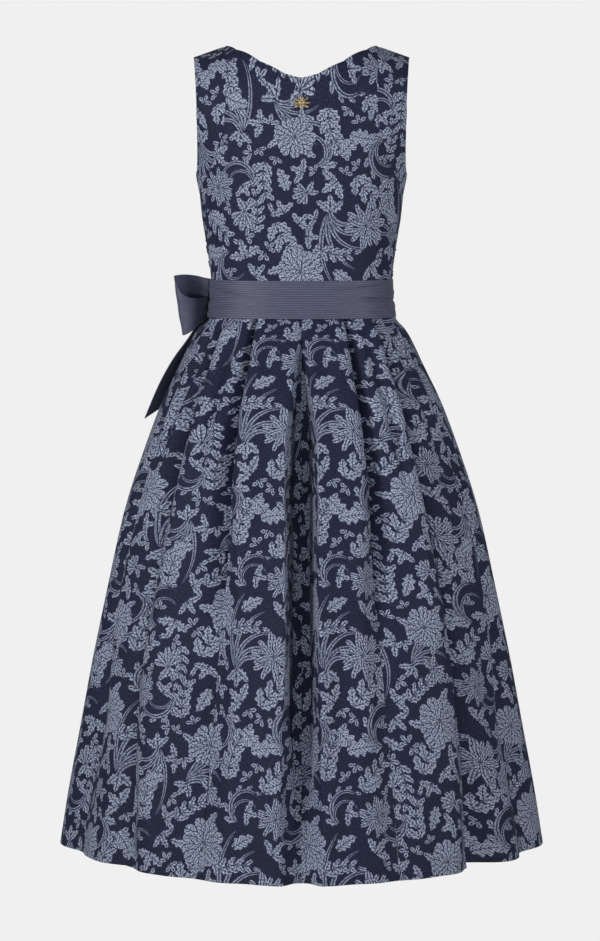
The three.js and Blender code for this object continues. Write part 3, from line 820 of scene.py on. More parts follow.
# %% The jacquard's face and its reverse
NAVY = "#12152b"
NAVY_LIT = "#353b5b"
BLUE = "#cad5ea"
VEIN = "#2b3150"
BLUE_BEHIND = "#59657f"  # the figure's yarn runs behind the ground, mixed with navy
GROUND_SPECKLE = 0.2
FIGURE_SPECKLE = 0.16
JACQUARD = (
    yarn_material("navy_satin_ground", NAVY, NAVY_LIT, False, GROUND_SPECKLE),
    yarn_material("pale_blue_figure", BLUE, VEIN, True, FIGURE_SPECKLE),
    yarn_material("reverse_of_ground", BLUE_BEHIND, NAVY, False, GROUND_SPECKLE),
    yarn_material("reverse_of_figure", NAVY, VEIN, False, FIGURE_SPECKLE),
)
print("jacquard:", [yarn.name for yarn in JACQUARD])


# %% Apron cloth and metal
def ribbed_taffeta(name, light, dark):
    """A plain weave with thicker threads across; where they would catch the light as fine level lines,
    the colour is painted lighter, a painted highlight, and the bump raises them.
    """
    material, tree = new_material(name)
    cloth = add_node(tree, "ShaderNodeUVMap", uv_map="cloth").outputs[0]
    along = add_node(tree, "ShaderNodeMapping", {"Vector": cloth, "Scale": RIB_STRETCH}).outputs[0]
    ribs = add_node(
        tree,
        "ShaderNodeTexWave",
        {"Vector": along, "Scale": RIBS, "Distortion": 1.6, "Detail": 2.0, "Detail Scale": 3.0},
        bands_direction="Y",
    )
    slubs = add_node(tree, "ShaderNodeTexNoise", {"Vector": along, "Scale": SPECKS, "Detail": 2.0})
    # painted highlight: the ribs, broken by slubs, tint the slate lighter where light would catch them,
    # and also raise the bump
    rib_relief_and_painted_highlight = add_node(
        tree, "ShaderNodeMath", {0: ribs.outputs["Fac"], 1: slubs.outputs["Fac"]}, operation="MULTIPLY"
    )
    tint = add_node(
        tree,
        "ShaderNodeMixRGB",
        {"Fac": rib_relief_and_painted_highlight.outputs[0], "Color1": colour(dark), "Color2": colour(light)},
    )
    bump = add_node(
        tree, "ShaderNodeBump", {"Height": rib_relief_and_painted_highlight.outputs[0], "Strength": 0.3, "Distance": WEAVE_RELIEF}
    )
    surface = add_node(
        tree,
        "ShaderNodeBsdfPrincipled",
        {
            "Base Color": tint.outputs[0],
            "Roughness": 0.55,
            "Specular IOR Level": 0.35,
            "Sheen Weight": 0.15,
            "Sheen Roughness": 0.35,
            "Normal": bump.outputs[0],
        },
    )
    add_node(tree, "ShaderNodeOutputMaterial", {"Surface": surface.outputs[0]})
    return material


TARNISH = 420.0  # patches of tarnish about 2 mm wide


def aged_brass(name, light, dark):
    """Cast and polished once, now dull in patches, so that it glints without a sharp reflection."""
    material, tree = new_material(name)
    place = add_node(tree, "ShaderNodeTexCoord").outputs["Object"]
    wear = add_node(tree, "ShaderNodeTexNoise", {"Vector": place, "Scale": TARNISH, "Detail": 3.0})
    tint = add_node(
        tree,
        "ShaderNodeMixRGB",
        {"Fac": wear.outputs["Fac"], "Color1": colour(dark), "Color2": colour(light)},
    )
    bump = add_node(
        tree, "ShaderNodeBump", {"Height": wear.outputs["Fac"], "Strength": 0.25, "Distance": 0.0003}
    )
    surface = add_node(
        tree,
        "ShaderNodeBsdfPrincipled",
        {"Base Color": tint.outputs[0], "Metallic": 1.0, "Roughness": 0.34, "Normal": bump.outputs[0]},
    )
    add_node(tree, "ShaderNodeOutputMaterial", {"Surface": surface.outputs[0]})
    return material


taffeta = ribbed_taffeta("slate_ribbed_taffeta", "#747690", "#45475c")
brass = aged_brass("aged_light_brass", "#d8c49a", "#7d705a")
print("apron cloth and charm:", taffeta.name, brass.name)

# %% [markdown]
# ## Bodice
# The back has a centre seam and two waist darts, and curved side pieces run up over the shoulders
# as straps. Each piece is cut flat, laid on the torso's form, and its sewn edges are pulled in by
# almost a millimetre, which is what makes a seam visible.

# %% Seams and edges of the bodice, seen in elevation, as in the frame
SIDE = 1e6  # anything wider than the torso is brought in to its side seam
WAIST_Z = -380
BACK_SEAM = (
    # x and height of the seam between back panel and side piece, from the side seam to the neck point
    (SIDE, -232), (152, -222), (140, -198), (129, -172), (114, -129), (111, -90),
    (111, -59), (112, -31), (113, -12), (114, -3), (115, 0),
)
BACK_ARMHOLE = (
    (SIDE, -196), (155.5, -188), (154.5, -176), (153.8, -156), (153.8, -122), (154.4, -90),
    (155.6, -65), (157.4, -42), (159, -26), (160, -18.5), (161, -16),
)
FRONT_NECKLINE = (
    (0, -184), (0, -170), (34, -167), (64, -158), (84, -143), (95, -120),
    (101, -90), (106, -59), (110, -31), (113, -12), (114, -3), (115, 0),
)
FRONT_ARMHOLE = (
    (SIDE, -196), (153, -183), (149, -170), (146, -154), (144, -134), (144, -112),
    (146, -90), (150, -65), (155, -42), (158, -26), (160, -18.5), (161, -16),
)
BACK_NECKLINE = ((0, -55), (8, -54.2), (25, -49), (61, -30.5), (96, -11), (108, -4), (115, 0))
SHOULDER = ((115, 0), (161, -16))
BACK_DART = ((70, -168), (70.5, -230), (71, -300), (72, -378))
FRONT_DART = ((72, -240), (71, -300), (70, -378))
BESIDE_DART = (-3, -1.4, 0, 1.4, 3)  # rows of points that make the dart's hollow round
BODICE_WALL = 1.6
SEAM_PULL = 0.9  # how far a seam and a dart are pulled in, in millimetres
DART_PULL = 0.7
SEAM_REACH = 3.2
# Where each piece is cut from the length of cloth
BODICE_OFFSET = np.array([62.0, 400.0])
FRONT_OFFSET = BODICE_OFFSET + [120, 0]


# %% Sewn edges
def cloth_line(face, side, points):
    """A line seen in elevation, in cloth coordinates, for the wearer's left (-1) or right (1)."""
    line = np.array([torso_cloth(face, x, z) for x, z in points])
    line[:, 0] *= side
    return resample(line)


def seam_shape(sewn, darts=()):
    """How far sewn edges and darts are pulled in below the form."""
    depths = [(line, SEAM_PULL) for line in sewn] + [(line, DART_PULL) for line in darts]
    depth = np.concatenate([np.full(len(line), pull) for line, pull in depths])
    tree = tree_of(np.concatenate([line for line, _ in depths]))

    def pulled_in(flat):
        found = [tree.find((p[0], p[1], 0)) for p in flat]
        near = np.array([distance for _, _, distance in found])
        return -depth[[index for _, index, _ in found]] * bell(near, SEAM_REACH)

    return pulled_in


def inside_edges(lines, toward, steps=(1.6, 3.4)):
    """Loose points just inside the sewn edges, so that the pulled-in edge has a round section."""
    rows = []
    for line in lines:
        for step in steps:
            aim = toward - line
            rows.append(line + aim / np.linalg.norm(aim, axis=1, keepdims=True) * step)
    return rows


def round_outline(*lines):
    """Joins lines that start where the last one ends."""
    return np.concatenate([line[:-1] for line in lines])


def on_torso(face):
    return lambda flat: torso_place(face, flat[:, 0], flat[:, 1])


# %% Back panels, side backs and fronts
def back_panel(side):
    centre = cloth_line(-1, side, [(0.01, z) for z in (WAIST_Z, -300, -200, -55)])
    neckline = cloth_line(-1, side, BACK_NECKLINE)
    strap = cloth_line(-1, side, BACK_SEAM[::-1])
    side_seam = cloth_line(-1, side, ((SIDE, -232), (SIDE, -300), (SIDE, WAIST_Z)))
    bottom = resample([side_seam[-1], centre[0]])
    outline = round_outline(centre, neckline, strap, side_seam, bottom)
    sewn = (centre, strap, side_seam)
    dart = cloth_line(-1, side, BACK_DART)
    loose = inside_edges(sewn, np.array([side * 60.0, -220.0]))
    loose += [dart + [d, 0] for d in BESIDE_DART]
    return laid_panel(outline, BODICE_OFFSET, on_torso(-1), loose, seam_shape(sewn, (dart,)))


def back_side(side):
    seam = cloth_line(-1, side, BACK_SEAM)
    shoulder = cloth_line(-1, side, SHOULDER)
    arm = cloth_line(-1, side, BACK_ARMHOLE[::-1])
    under = cloth_line(-1, side, ((SIDE, -196), (SIDE, -232)))
    outline = round_outline(seam, shoulder, arm, under)
    loose = inside_edges((seam,), np.array([side * 230.0, -120.0]))
    offset = BODICE_OFFSET + [side * 37, 61]
    return laid_panel(outline, offset, on_torso(-1), loose, seam_shape((seam, shoulder, under)))


def front_panel(side):
    centre = cloth_line(1, side, ((0.01, WAIST_Z), (0.01, -184)))
    neckline = cloth_line(1, side, FRONT_NECKLINE)
    shoulder = cloth_line(1, side, SHOULDER)
    armhole = cloth_line(1, side, FRONT_ARMHOLE[::-1])
    side_seam = cloth_line(1, side, ((SIDE, -196), (SIDE, WAIST_Z)))
    bottom = resample([side_seam[-1], centre[0]])
    outline = round_outline(centre, neckline, shoulder, armhole, side_seam, bottom)
    sewn = (centre, shoulder, side_seam)
    dart = cloth_line(1, side, FRONT_DART)
    loose = inside_edges((centre, side_seam), np.array([side * 70.0, -260.0]))
    loose += [dart + [d, 0] for d in BESIDE_DART]
    return laid_panel(outline, FRONT_OFFSET, on_torso(1), loose, seam_shape(sewn, (dart,)))


bodice = {}
CUTS = {"back_panel": back_panel, "back_side": back_side, "front_panel": front_panel}
for side_name, side in (("left", -1), ("right", 1)):
    for node, cut in CUTS.items():
        name = f"{node}_{side_name}"
        bodice[name] = cloth_object(f"{name}_cloth", [cut(side)], JACQUARD, BODICE_WALL)
        print(name, len(bodice[name].data.polygons), "faces")

# %% [markdown]
# ## Skirt
# Sixteen pleats are laid into the waist. Towards the hem they open into soft waves. Between two
# folds lies a strip of cloth that is narrow at the waist and wide at the hem: the rest of the cloth
# is hidden inside the fold, so the figure keeps its size and is cut off at each fold, as in a real
# pleated skirt. The strip nearer the centre back lies on top of the next one. Pressed pleats keep
# their places, so the folds stand in a table and functions give their depth, instead of a cloth
# simulation that would have to find them.

# %% Folds and creases of the skirt
# Angle round from the centre back, depth at the waist and at the hem as shares of the form's groove,
# and the height at which the pleat lies fully open
FOLDS = table(
    "at deep hem release",
    (-180, 1.0, 0.9, -900),
    (-160, 0.9, 0.7, -880),
    (-139, 1.0, 1.1, -900),
    (-118, 0.9, 0.7, -880),
    (-96, 1.0, 1.0, -900),
    (-70, 1.3, 0.9, -1080),
    (-48.5, 1.5, 1.2, -1250),
    (-24.5, 1.4, 0.6, -880),
    (0, 1.3, 1.1, -900),
    (23, 1.4, 0.6, -900),
    (45, 1.5, 1.3, -1300),
    (69, 1.3, 0.9, -1080),
    (96, 1.0, 1.0, -900),
    (120, 0.9, 0.7, -880),
    (140, 1.1, 1.0, -900),
    (160, 0.9, 0.8, -880),
    (180, 1.0, 0.9, -900),
)
# Soft troughs: angle at their top and bottom, heights, depth and half width in millimetres
CREASES = table(
    "top_at low_at top low depth spread",
    (35, 38, -425, -680, 8, 7),
    (-36, -39, -430, -660, 8, 7),
    (-59, -64, -420, -680, 8, 7),
    (58, 62, -425, -640, 7, 7),
    (11, 12, -440, -620, 4, 7),
    (-12, -13, -450, -600, 4, 7),
    (9, 12, -470, -1191, 5, 26),
    (-11, -13, -560, -1191, 6, 30),
    (33, 34, -620, -1191, 7, 34),
    (-36, -36, -600, -1191, 8, 36),
    (56, 58, -560, -1100, 6, 30),
    (-59, -60, -640, -1191, 7, 34),
    (17, 5, -760, -1120, 4, 24),
    (-19, -28, -820, -1191, 5, 28),
    (39, 49, -840, -1191, 5, 26),
    (-51, -44, -900, -1191, 4, 24),
    (108, 110, -600, -1191, 6, 34),
    (-107, -105, -560, -1191, 7, 34),
    (130, 128, -640, -1191, 6, 32),
    (-128, -131, -600, -1191, 6, 34),
    (150, 152, -620, -1191, 7, 34),
    (-150, -148, -640, -1191, 6, 32),
    (171, 168, -600, -1191, 6, 34),
    (-170, -172, -600, -1191, 6, 34),
)
# The inverted pleat at the centre back: how deep it is, and how far its edges stand apart
VALLEY = table(
    "z deep wide",
    (-381, 3, 0),
    (-430, 8, 1),
    (-500, 26, 7),
    (-600, 62, 17),
    (-800, 70, 18),
    (-960, 54, 17),
    (-1100, 34, 13),
    (-1191, 24, 9),
)
CREASE_DEPTH = 1.5
SKIRT_WALL = 1.4
SKIRT_TOP = -381.0
SKIRT_HEM = -1190.5
STRIPS = 16  # strip n lies between folds n and n + 1; the first and the last fold meet in front
CENTRE_FOLD = 8
UNDER_APRON = 3  # the last fold under the apron, counted from the centre front
OPENING = 300  # a fold opens into a wave over this height, down to its release
SLOT_DEPTH = 20.0  # where the pleat still lies closed its cloth dives steeply under the fold's edge
SLOT_WIDTH = 5.5
SLOT_START = -425  # the slot deepens from the waist down to here
CLOSED_DEPTH = 1.5  # the lower strip's depth beside a closed fold and beside an open one
OPEN_DEPTH = 1.25
UNDER_SPREAD = 0.85
PAST_SLOPE = 0.5  # beyond the fold line the lower strip goes on down
CLOSED_ROLL = 0.3  # how far the upper strip's edge rolls in, as a share of the form's spread
OPEN_ROLL = 0.85
ROLL_DEPTH = 0.1
SWELL = 3.5  # the cloth stands out beside a closed fold, but not where the apron presses it flat
SWELL_PLACE = 1.1
UNDERLAP = 3.6  # how far a strip runs on under a closed fold
CURL = 0.85  # share of the underlap over which it turns down to the lower strip
EDGE_GAP = 0.02  # strips stop this far from their fold line, so that they don't share corners
HEM_STEP = 7.0  # the strip beside the longest fold hangs a little shorter
HEM_STEP_STRIP = 10
HEM_STEP_REACH = 60
HEM_SAG = 7.0  # the hem hangs lowest at the centre back
VALLEY_LIP = 3  # the centre pleat's wall starts this far inside its edge
VALLEY_WALL = (5, 22)  # width of the wall, above its opening and at the hem
VALLEY_OPENS = -850


# %% The skirt's outermost form
def crest(angle, z):
    """A point of the skirt's outermost form; the angle runs round from the centre back, in degrees."""
    power = 2 / read(SKIRT, "square", z)
    sin, cos = np.sin(np.radians(angle)), np.cos(np.radians(angle))
    x = read(SKIRT, "width", z) * np.sign(sin) * np.abs(sin) ** power
    y = -read(SKIRT, "depth", z) * np.sign(cos) * np.abs(cos) ** power
    return x, y


def crest_speed(angle, z, step=4):
    """Millimetres of cloth for each degree round the skirt."""
    (x0, y0), (x1, y1) = crest(angle - step, z), crest(angle + step, z)
    return np.hypot(x1 - x0, y1 - y0) / (2 * step)


# FALL is the length of cloth from the waist down to each of the HEIGHTS, since the skirt slopes
HEIGHTS = np.linspace(SKIRT_TOP, SKIRT_HEM, 600)
MEAN_RADIUS = (read(SKIRT, "width", HEIGHTS) + read(SKIRT, "depth", HEIGHTS)) / 2
FALL = np.concatenate([[0], np.cumsum(np.hypot(np.diff(HEIGHTS), np.diff(MEAN_RADIUS)))])
print("skirt length along the cloth:", round(FALL[-1]), "mm")


# %% Creases
def crease_depth(angle, z):
    """All creases together; each fades in below its top and, above the hem, out to its low end."""
    total = np.zeros_like(z)
    for top_at, low_at, top, low, depth, spread in rows_of(CREASES):
        down = np.clip((z - top) / (low - top), 0, 1)
        arc = (angle - mix(top_at, low_at, down)) * crest_speed(np.full_like(z, top_at), z)
        fade = smooth_step(z, top + 40, top - 90)
        if low > SKIRT_HEM:
            fade = fade * (1 - smooth_step(z, low + 120, low))
        total += CREASE_DEPTH * depth * fade * bell(arc, spread)
    return total


# %% The centre pleat
def valley_edges(z):
    """Where the pleat's wall starts and ends, round the skirt from the centre back."""
    wide = read(VALLEY, "wide", z)
    return wide - VALLEY_LIP, wide + mix(*VALLEY_WALL, smooth_step(z, VALLEY_OPENS, -1191))


def valley_depth(arc, z):
    """The edges part and show the cloth deep between them."""
    return read(VALLEY, "deep", z) * (1 - smooth_step(np.abs(arc), *valley_edges(z)))


def valley_extra(z):
    """How much more cloth the wall takes up than the width that it covers."""
    start, end = valley_edges(z)
    wall = end - np.clip(start, 0, None)
    return np.hypot(read(VALLEY, "deep", z), wall) - wall


def let_into_valley(across, half, toward, z):
    """On the two strips at the centre back, part of the width runs down the wall of the pleat."""
    start, end = valley_edges(z)
    start, extra = np.clip(start, 0, None), valley_extra(z)
    along = half + extra - toward * across
    on_wall = start + (along - start) * (end - start) / (end - start + extra)
    arc = np.where(along < start, along, np.where(along < end + extra, on_wall, along - extra))
    return toward * (half - arc)


# %% The other folds
def fold_opening(fold, z):
    """0 where the pleat lies closed, 1 where it has opened into a wave."""
    release = FOLDS["release"][fold]
    return smooth_step(z, release + OPENING, release)


def underlap(fold, z):
    """How far a strip runs on past its fold line; at the centre lines two strips just meet."""
    return 0 if fold in (0, CENTRE_FOLD, STRIPS) else UNDERLAP * (1 - fold_opening(fold, z))


def under_depth(arc, fold, z, opened):
    """The strip that lies beneath: deepest beside the fold line."""
    down = (SKIRT_TOP - z) / (SKIRT_TOP - SKIRT_HEM)
    deep = read(SKIRT, "groove", z) * mix(FOLDS["deep"][fold], FOLDS["hem"][fold], down)
    spread = UNDER_SPREAD * read(SKIRT, "spread", z)
    slot = SLOT_DEPTH * (1 - opened) * smooth_step(z, SKIRT_TOP, SLOT_START) * bell(arc, SLOT_WIDTH)
    return deep * mix(CLOSED_DEPTH, OPEN_DEPTH, opened) * bell(arc, spread) + slot


def fold_depth(arc, fold, on_top, z):
    """How deep one side of a fold lies, at a distance from the fold line along the cloth."""
    if fold == CENTRE_FOLD:
        return valley_depth(arc, z)
    opened = fold_opening(fold, z)
    past, arc = np.clip(-arc, 0, None), np.clip(arc, 0, None)
    if not on_top:
        return under_depth(arc, fold, z, opened) + PAST_SLOPE * past
    beneath = under_depth(past, fold, z, opened)
    narrow = read(SKIRT, "spread", z) * mix(CLOSED_ROLL, OPEN_ROLL, opened)
    upper = beneath * mix(ROLL_DEPTH, 1.0, opened) * bell(arc, narrow)
    if UNDER_APRON < fold < STRIPS - UNDER_APRON:
        broad = narrow / CLOSED_ROLL
        upper = upper - SWELL * (1 - opened) * bell(arc - SWELL_PLACE * broad, broad)
    return mix(upper, beneath, smooth_step(past, 0, CURL * underlap(fold, z) + EDGE_GAP))


# %% Strips between the folds
STRIP_STEP = 3.2  # millimetres between rows of points along a fold
BESIDE_FOLD = (1.5, 3.2, 5.4, 8, 11)  # rows of points inside the fold line, closer where it bends
# Where each strip is cut from the length of cloth: the next one starts a step further across, and
# the right half of the skirt further still
STRIP_DOWN = 88.0
CUT_START = 1000
CUT_STEP = 147
CUT_RIGHT = 333
STRIP_ACROSS = [
    CUT_START + CUT_STEP * (strip - CENTRE_FOLD) + CUT_RIGHT * (strip >= CENTRE_FOLD)
    for strip in range(STRIPS)
]


def strip_place(strip, flat):
    """From (across, down) on the strip's cloth to its place on the skirt."""
    z = np.interp(flat[:, 1], FALL, HEIGHTS)
    first, last = FOLDS["at"][strip], FOLDS["at"][strip + 1]
    middle = (first + last) / 2
    speed = crest_speed(np.full_like(z, middle), z)
    across = flat[:, 0]
    if strip in (CENTRE_FOLD - 1, CENTRE_FOLD):
        across = let_into_valley(across, (last - first) / 2 * speed, 1 if strip < CENTRE_FOLD else -1, z)
    angle = middle + across / speed
    x, y = crest(angle, z)
    first_on_top = 0 < strip < CENTRE_FOLD
    last_on_top = CENTRE_FOLD <= strip < STRIPS - 1
    inset = fold_depth((angle - first) * speed, strip, first_on_top, z)
    inset = inset + fold_depth((last - angle) * speed, strip + 1, last_on_top, z)
    inset = inset + crease_depth(angle, z)
    scale = 1 - inset / np.hypot(x, y)
    sag = HEM_SAG * smooth_step(z, -900, SKIRT_HEM) * np.clip(np.cos(np.radians(angle)), 0, 1) ** 2
    if strip == HEM_STEP_STRIP:
        from_fold = np.clip(angle - first, 0, None) * speed
        sag = sag - HEM_STEP * smooth_step(z, -1050, SKIRT_HEM) * np.exp(-from_fold / HEM_STEP_REACH)
    return np.stack([x * scale, y * scale, z - sag], axis=-1)


def skirt_strip(strip):
    """One strip, cut with its underlaps and laid on the skirt's form."""
    first, last = FOLDS["at"][strip], FOLDS["at"][strip + 1]
    down = np.arange(0, FALL[-1], STRIP_STEP)
    down = np.append(down[down < FALL[-1] - 1], FALL[-1])
    z = np.interp(down, FALL, HEIGHTS)
    half = (last - first) / 2 * crest_speed(np.full_like(z, (first + last) / 2), z)

    def edge(side, fold):
        beyond = valley_extra(z) if fold == CENTRE_FOLD else underlap(fold, z)
        return np.stack([side * (half - EDGE_GAP + beyond), down], axis=-1)

    left, right = edge(-1, strip), edge(1, strip + 1)
    hem, waist = resample([left[-1], right[-1]]), resample([right[0], left[0]])
    outline = round_outline(left, hem, right[::-1], waist)
    loose = [line - [side * inset, 0] for side, line in ((-1, left), (1, right)) for inset in BESIDE_FOLD]
    offset = np.array([STRIP_ACROSS[strip], STRIP_DOWN])
    return laid_panel(outline, offset, lambda flat: strip_place(strip, flat), loose)


# %% Cut and lay the four skirt panels, of four strips each
SKIRT_PANELS = ("skirt_front_left", "skirt_back_left", "skirt_back_right", "skirt_front_right")
skirt = {}
for quarter, name in enumerate(SKIRT_PANELS):
    strips = [skirt_strip(4 * quarter + i) for i in range(4)]
    skirt[name] = cloth_object(f"{name}_cloth", strips, JACQUARD, SKIRT_WALL)
    print(name, len(skirt[name].data.polygons), "faces")

# %% [markdown]
# ## Apron and band
# The apron is gathered to its waistband in front, and the tie goes round the back to the bow. These
# are plain woven cloths, so a regular grid in cloth coordinates is enough. The tie has a few soft
# creases along it, which come from being pulled tight.


# %% Regular cloth grids
def cloth_grid(name, place, across, down, thickness, material):
    """A regular grid; place takes pairs of across and down in mm and gives places in mm."""
    a, d = np.meshgrid(across, down)
    flat = np.stack([a.ravel(), d.ravel()], axis=-1)
    places = place(flat)
    rows, columns = a.shape
    index = np.arange(rows * columns).reshape(rows, columns)
    quads = np.stack([index[:-1, :-1], index[:-1, 1:], index[1:, 1:], index[1:, :-1]], axis=-1)
    quads = quads.reshape(-1, 4)
    triangles = np.concatenate([quads[:, [0, 1, 2]], quads[:, [0, 2, 3]]])
    order = face_outwards(places, triangles, panel_normals(place, flat))
    triangles = triangles[:, order]
    plain = np.zeros(len(triangles), bool)
    return cloth_object(name, [(places, triangles, plain, None, flat)], (material,), thickness)


BAND = table(
    "z width back front",
    (-351, 137, 96.8, 98.8),
    (-379, 138.2, 98.2, 98.6),
    (-407, 141.8, 101.8, 101.8),
)
# Creases of strain: where their middle lies, how much they slope, and how far they reach
TIE_CREASES = table(
    "across height tilt deep spread reach",
    (142, -380, -3, 3.2, 1.9, 62),
    (150, -373, 4, -1.6, 3.0, 60),
    (135, -388, -3, -1.3, 3.2, 70),
    (110, -361, 6, 1.5, 2.6, 60),
    (40, -366, 2, 0.9, 2.8, 90),
    (-40, -392, -2, 0.9, 2.6, 80),
    (-150, -366, -7, 2.0, 2.4, 50),
    (-165, -380, 2, 2.2, 2.6, 45),
    (-160, -394, 6, 1.8, 2.6, 50),
    (-120, -373, -5, 1.0, 3.0, 60),
    (60, -398, 3, 0.8, 2.6, 90),
)
BAND_TOP = -351
BAND_LOW = -407
BAND_WALL = 1.3
BAND_RISE = 3.6  # the band rises towards the sides
BAND_MIDDLE = (139, 99.5)  # half width and depth halfway down
EDGE_PULL = 0.5  # the band's folded edges are pressed in a little
EDGE_REACH = 1.6


def band_place(face, flat):
    across, z = flat[:, 0], np.clip(flat[:, 1], BAND_LOW, BAND_TOP)
    width, depth = half_sizes(BAND, face, z)
    turn = np.interp(np.clip(np.abs(across) / quarter_round(width, depth), 0, 1), QUARTER_ARC, QUARTER)
    crease = np.zeros_like(z)
    for at, height, tilt, deep, spread, reach in rows_of(TIE_CREASES):
        along = (across - at) / reach
        crease += deep * bell(z - height - tilt * along, spread) * np.exp(-(along**4))
    crease *= smooth_step(z, BAND_LOW, BAND_LOW + 8) * smooth_step(z, BAND_TOP, BAND_TOP - 6)
    edge = EDGE_PULL * (bell(z - BAND_TOP, EDGE_REACH) + bell(z - BAND_LOW, EDGE_REACH))
    size = 1 - (crease + edge) / np.hypot(width, depth)
    x = np.sign(across) * width * np.sin(turn) ** TORSO_POWER * size
    flat_share = np.cos(turn).clip(0) ** TORSO_POWER
    y = face * (depth * flat_share * size + HALF_GAP)
    return np.stack([x, y, z + BAND_RISE * (1 - flat_share)], axis=-1)


band_reach = quarter_round(*BAND_MIDDLE)
band_across = np.linspace(-band_reach, band_reach, 150)
band_down = np.concatenate(
    [[BAND_TOP, -351.8, -352.8], np.linspace(-354, -404, 44), [-405.2, -406.2, BAND_LOW]]
)
tie, waistband = (
    cloth_grid(name, lambda f: band_place(face, f), band_across, band_down, BAND_WALL, taffeta)
    for name, face in (("apron_tie_cloth", -1), ("apron_waistband_cloth", 1))
)
print("band:", len(tie.data.polygons), "and", len(waistband.data.polygons), "faces")

# %% Apron cloth with its gathers
# How far the cloth stands off the skirt and how deep its gathers are
APRON = table(
    "z stand gather",
    (-407.3, 2.4, 0.4),
    (-421, 4, 1.6),
    (-439, 5.2, 3),
    (-529, 7.5, 5),
    (-690, 9, 6.5),
    (-1191, 10, 7.5),
)
APRON_HALF_ANGLE = 62  # degrees of the front on each side of its middle
APRON_SPAN = 360.0  # millimetres of cloth over the same half
APRON_TOP = -407.5
APRON_HEM = -1146
APRON_GATHERS = 10
APRON_WALL = 0.9
GATHER_SHARE = 0.9
FINE_GATHERS = 3.4  # small gathers to each large one, just below the band
FINE_DEPTH = 0.7
APRON_CLEAR = 1.6  # the apron never comes nearer to the skirt


def apron_place(flat):
    share, z = flat[:, 0] / APRON_SPAN, np.clip(flat[:, 1], APRON_HEM, APRON_TOP + 0.1)
    angle = 180 + APRON_HALF_ANGLE * share
    x, y = crest(angle, z)
    top = smooth_step(z, -560, BAND_LOW)
    gathers = math.pi * APRON_GATHERS * share
    hollow = 0.5 - 0.5 * np.cos(gathers)
    fine = 0.5 + 0.5 * np.cos(FINE_GATHERS * gathers + 2 * np.sin(9 * share))
    stand = read(APRON, "stand", z) - read(APRON, "gather", z) * hollow * GATHER_SHARE
    scale = 1 + np.maximum(stand - FINE_DEPTH * top * fine, APRON_CLEAR) / np.hypot(x, y)
    return np.stack([x * scale, y * scale, z], axis=-1)


apron_across = np.linspace(-APRON_SPAN, APRON_SPAN, 260)
apron_down = np.linspace(APRON_TOP, APRON_HEM, 130)
apron = cloth_grid("apron_skirt_cloth", apron_place, apron_across, apron_down, APRON_WALL, taffeta)
print("apron:", len(apron.data.polygons), "faces")

# %% [markdown]
# ## Bow
# The ends of the tie are knotted at the wearer's left. Ribbons run through a few stations, as in
# the frame, with fine folds where the knot gathers them. The knot itself is a short wrap of the
# same ribbon, with creases round it.

# %% Ribbons through stations
LOOP_STATIONS = (
    # top edge x, y, z, then lower edge x, y, z
    (-138.2, 2.0, -347, -142.6, 5, -401),
    (-149, 2, -345, -150, 3, -400),
    (-163, -4, -342, -158, -4, -402),
    (-175, -12, -341, -167, -11, -408),
    (-186, -24, -342, -174, -21, -420),
    (-190, -34, -344, -177, -31, -430),
    (-187, -42, -352, -175, -40, -431),
    (-179, -44, -367, -167, -42, -428),
    (-168, -37, -374.5, -159, -36, -422),
    (-156, -24, -376, -151, -23, -414),
    (-146, -11, -375.5, -146, -11, -409),
    (-140, -4, -375, -143.4, -4, -406),
)
TAIL_BACK = (
    (-148, 10, -397.6, -150, 30, -397.6),
    (-168, 7, -431, -158.5, 41, -428),
    (-193, 8, -466, -169, 48, -458),
    (-213, 10, -503, -186, 51, -492),
    (-236, 14, -557, -205, 54, -534),
)
TAIL_FRONT = (
    (-143.5, 16, -397.6, -145, 33, -397.6),
    (-160, 47, -425, -148, 76, -425),
    (-172, 66, -458, -152, 106, -460),
    (-190, 78, -500, -165, 130, -508),
    (-205, 86, -540, -180, 144, -568),
)
KNOT = {"x": -146.7, "y": 22.0, "z": -379.0, "thick": 13.6, "wide": 26.0, "tall": 36.0}
FRONT_LOOP_LEAN = math.sin(math.radians(24))
MOUTH_GAP = 0.3  # between the knot and a loop
RIBBON_WALL = 1.1
LOOP_WIDTH = 88
LOOP_LENGTH = 150
TAIL_WIDTH = 60
KNOT_FOLDS = 5  # folds across a ribbon where the knot gathers it
LOOP_FOLD_DEPTH = 1.7
TAIL_FOLD_DEPTH = 0.9
GATHER_FADE = 5  # the folds fade out over about a fifth of the ribbon
RIPPLE = 0.8


def front_loop(stations):
    """The back loop mirrored to the front of the knot, where it follows the dress round."""
    mouth = KNOT["y"] + KNOT["wide"] / 2 + MOUTH_GAP
    rows = np.array(stations, float)
    for x, y in ((0, 1), (3, 4)):
        rows[:, y] = 2 * KNOT["y"] - rows[:, y]
        rows[:, x] += np.clip(FRONT_LOOP_LEAN * (rows[:, y] - mouth), 0, None)
    return rows


def spline(rows, t):
    """A smooth curve through rows of values, with the stations spaced by their distance."""
    rows = np.asarray(rows, float)
    gaps = np.linalg.norm(np.diff(rows, axis=0), axis=1) ** 0.5
    knots = np.concatenate([[0], np.cumsum(gaps)]) / gaps.sum()
    i = np.clip(np.searchsorted(knots, t) - 1, 0, len(knots) - 2)
    slopes = np.gradient(rows, knots, axis=0)
    span = (knots[i + 1] - knots[i])[:, None]
    s = (t - knots[i])[:, None] / span
    bend = s * (1 - s) * span * (slopes[i] * (1 - s) - slopes[i + 1] * s)
    return rows[i] + (rows[i + 1] - rows[i]) * s * s * (3 - 2 * s) + bend


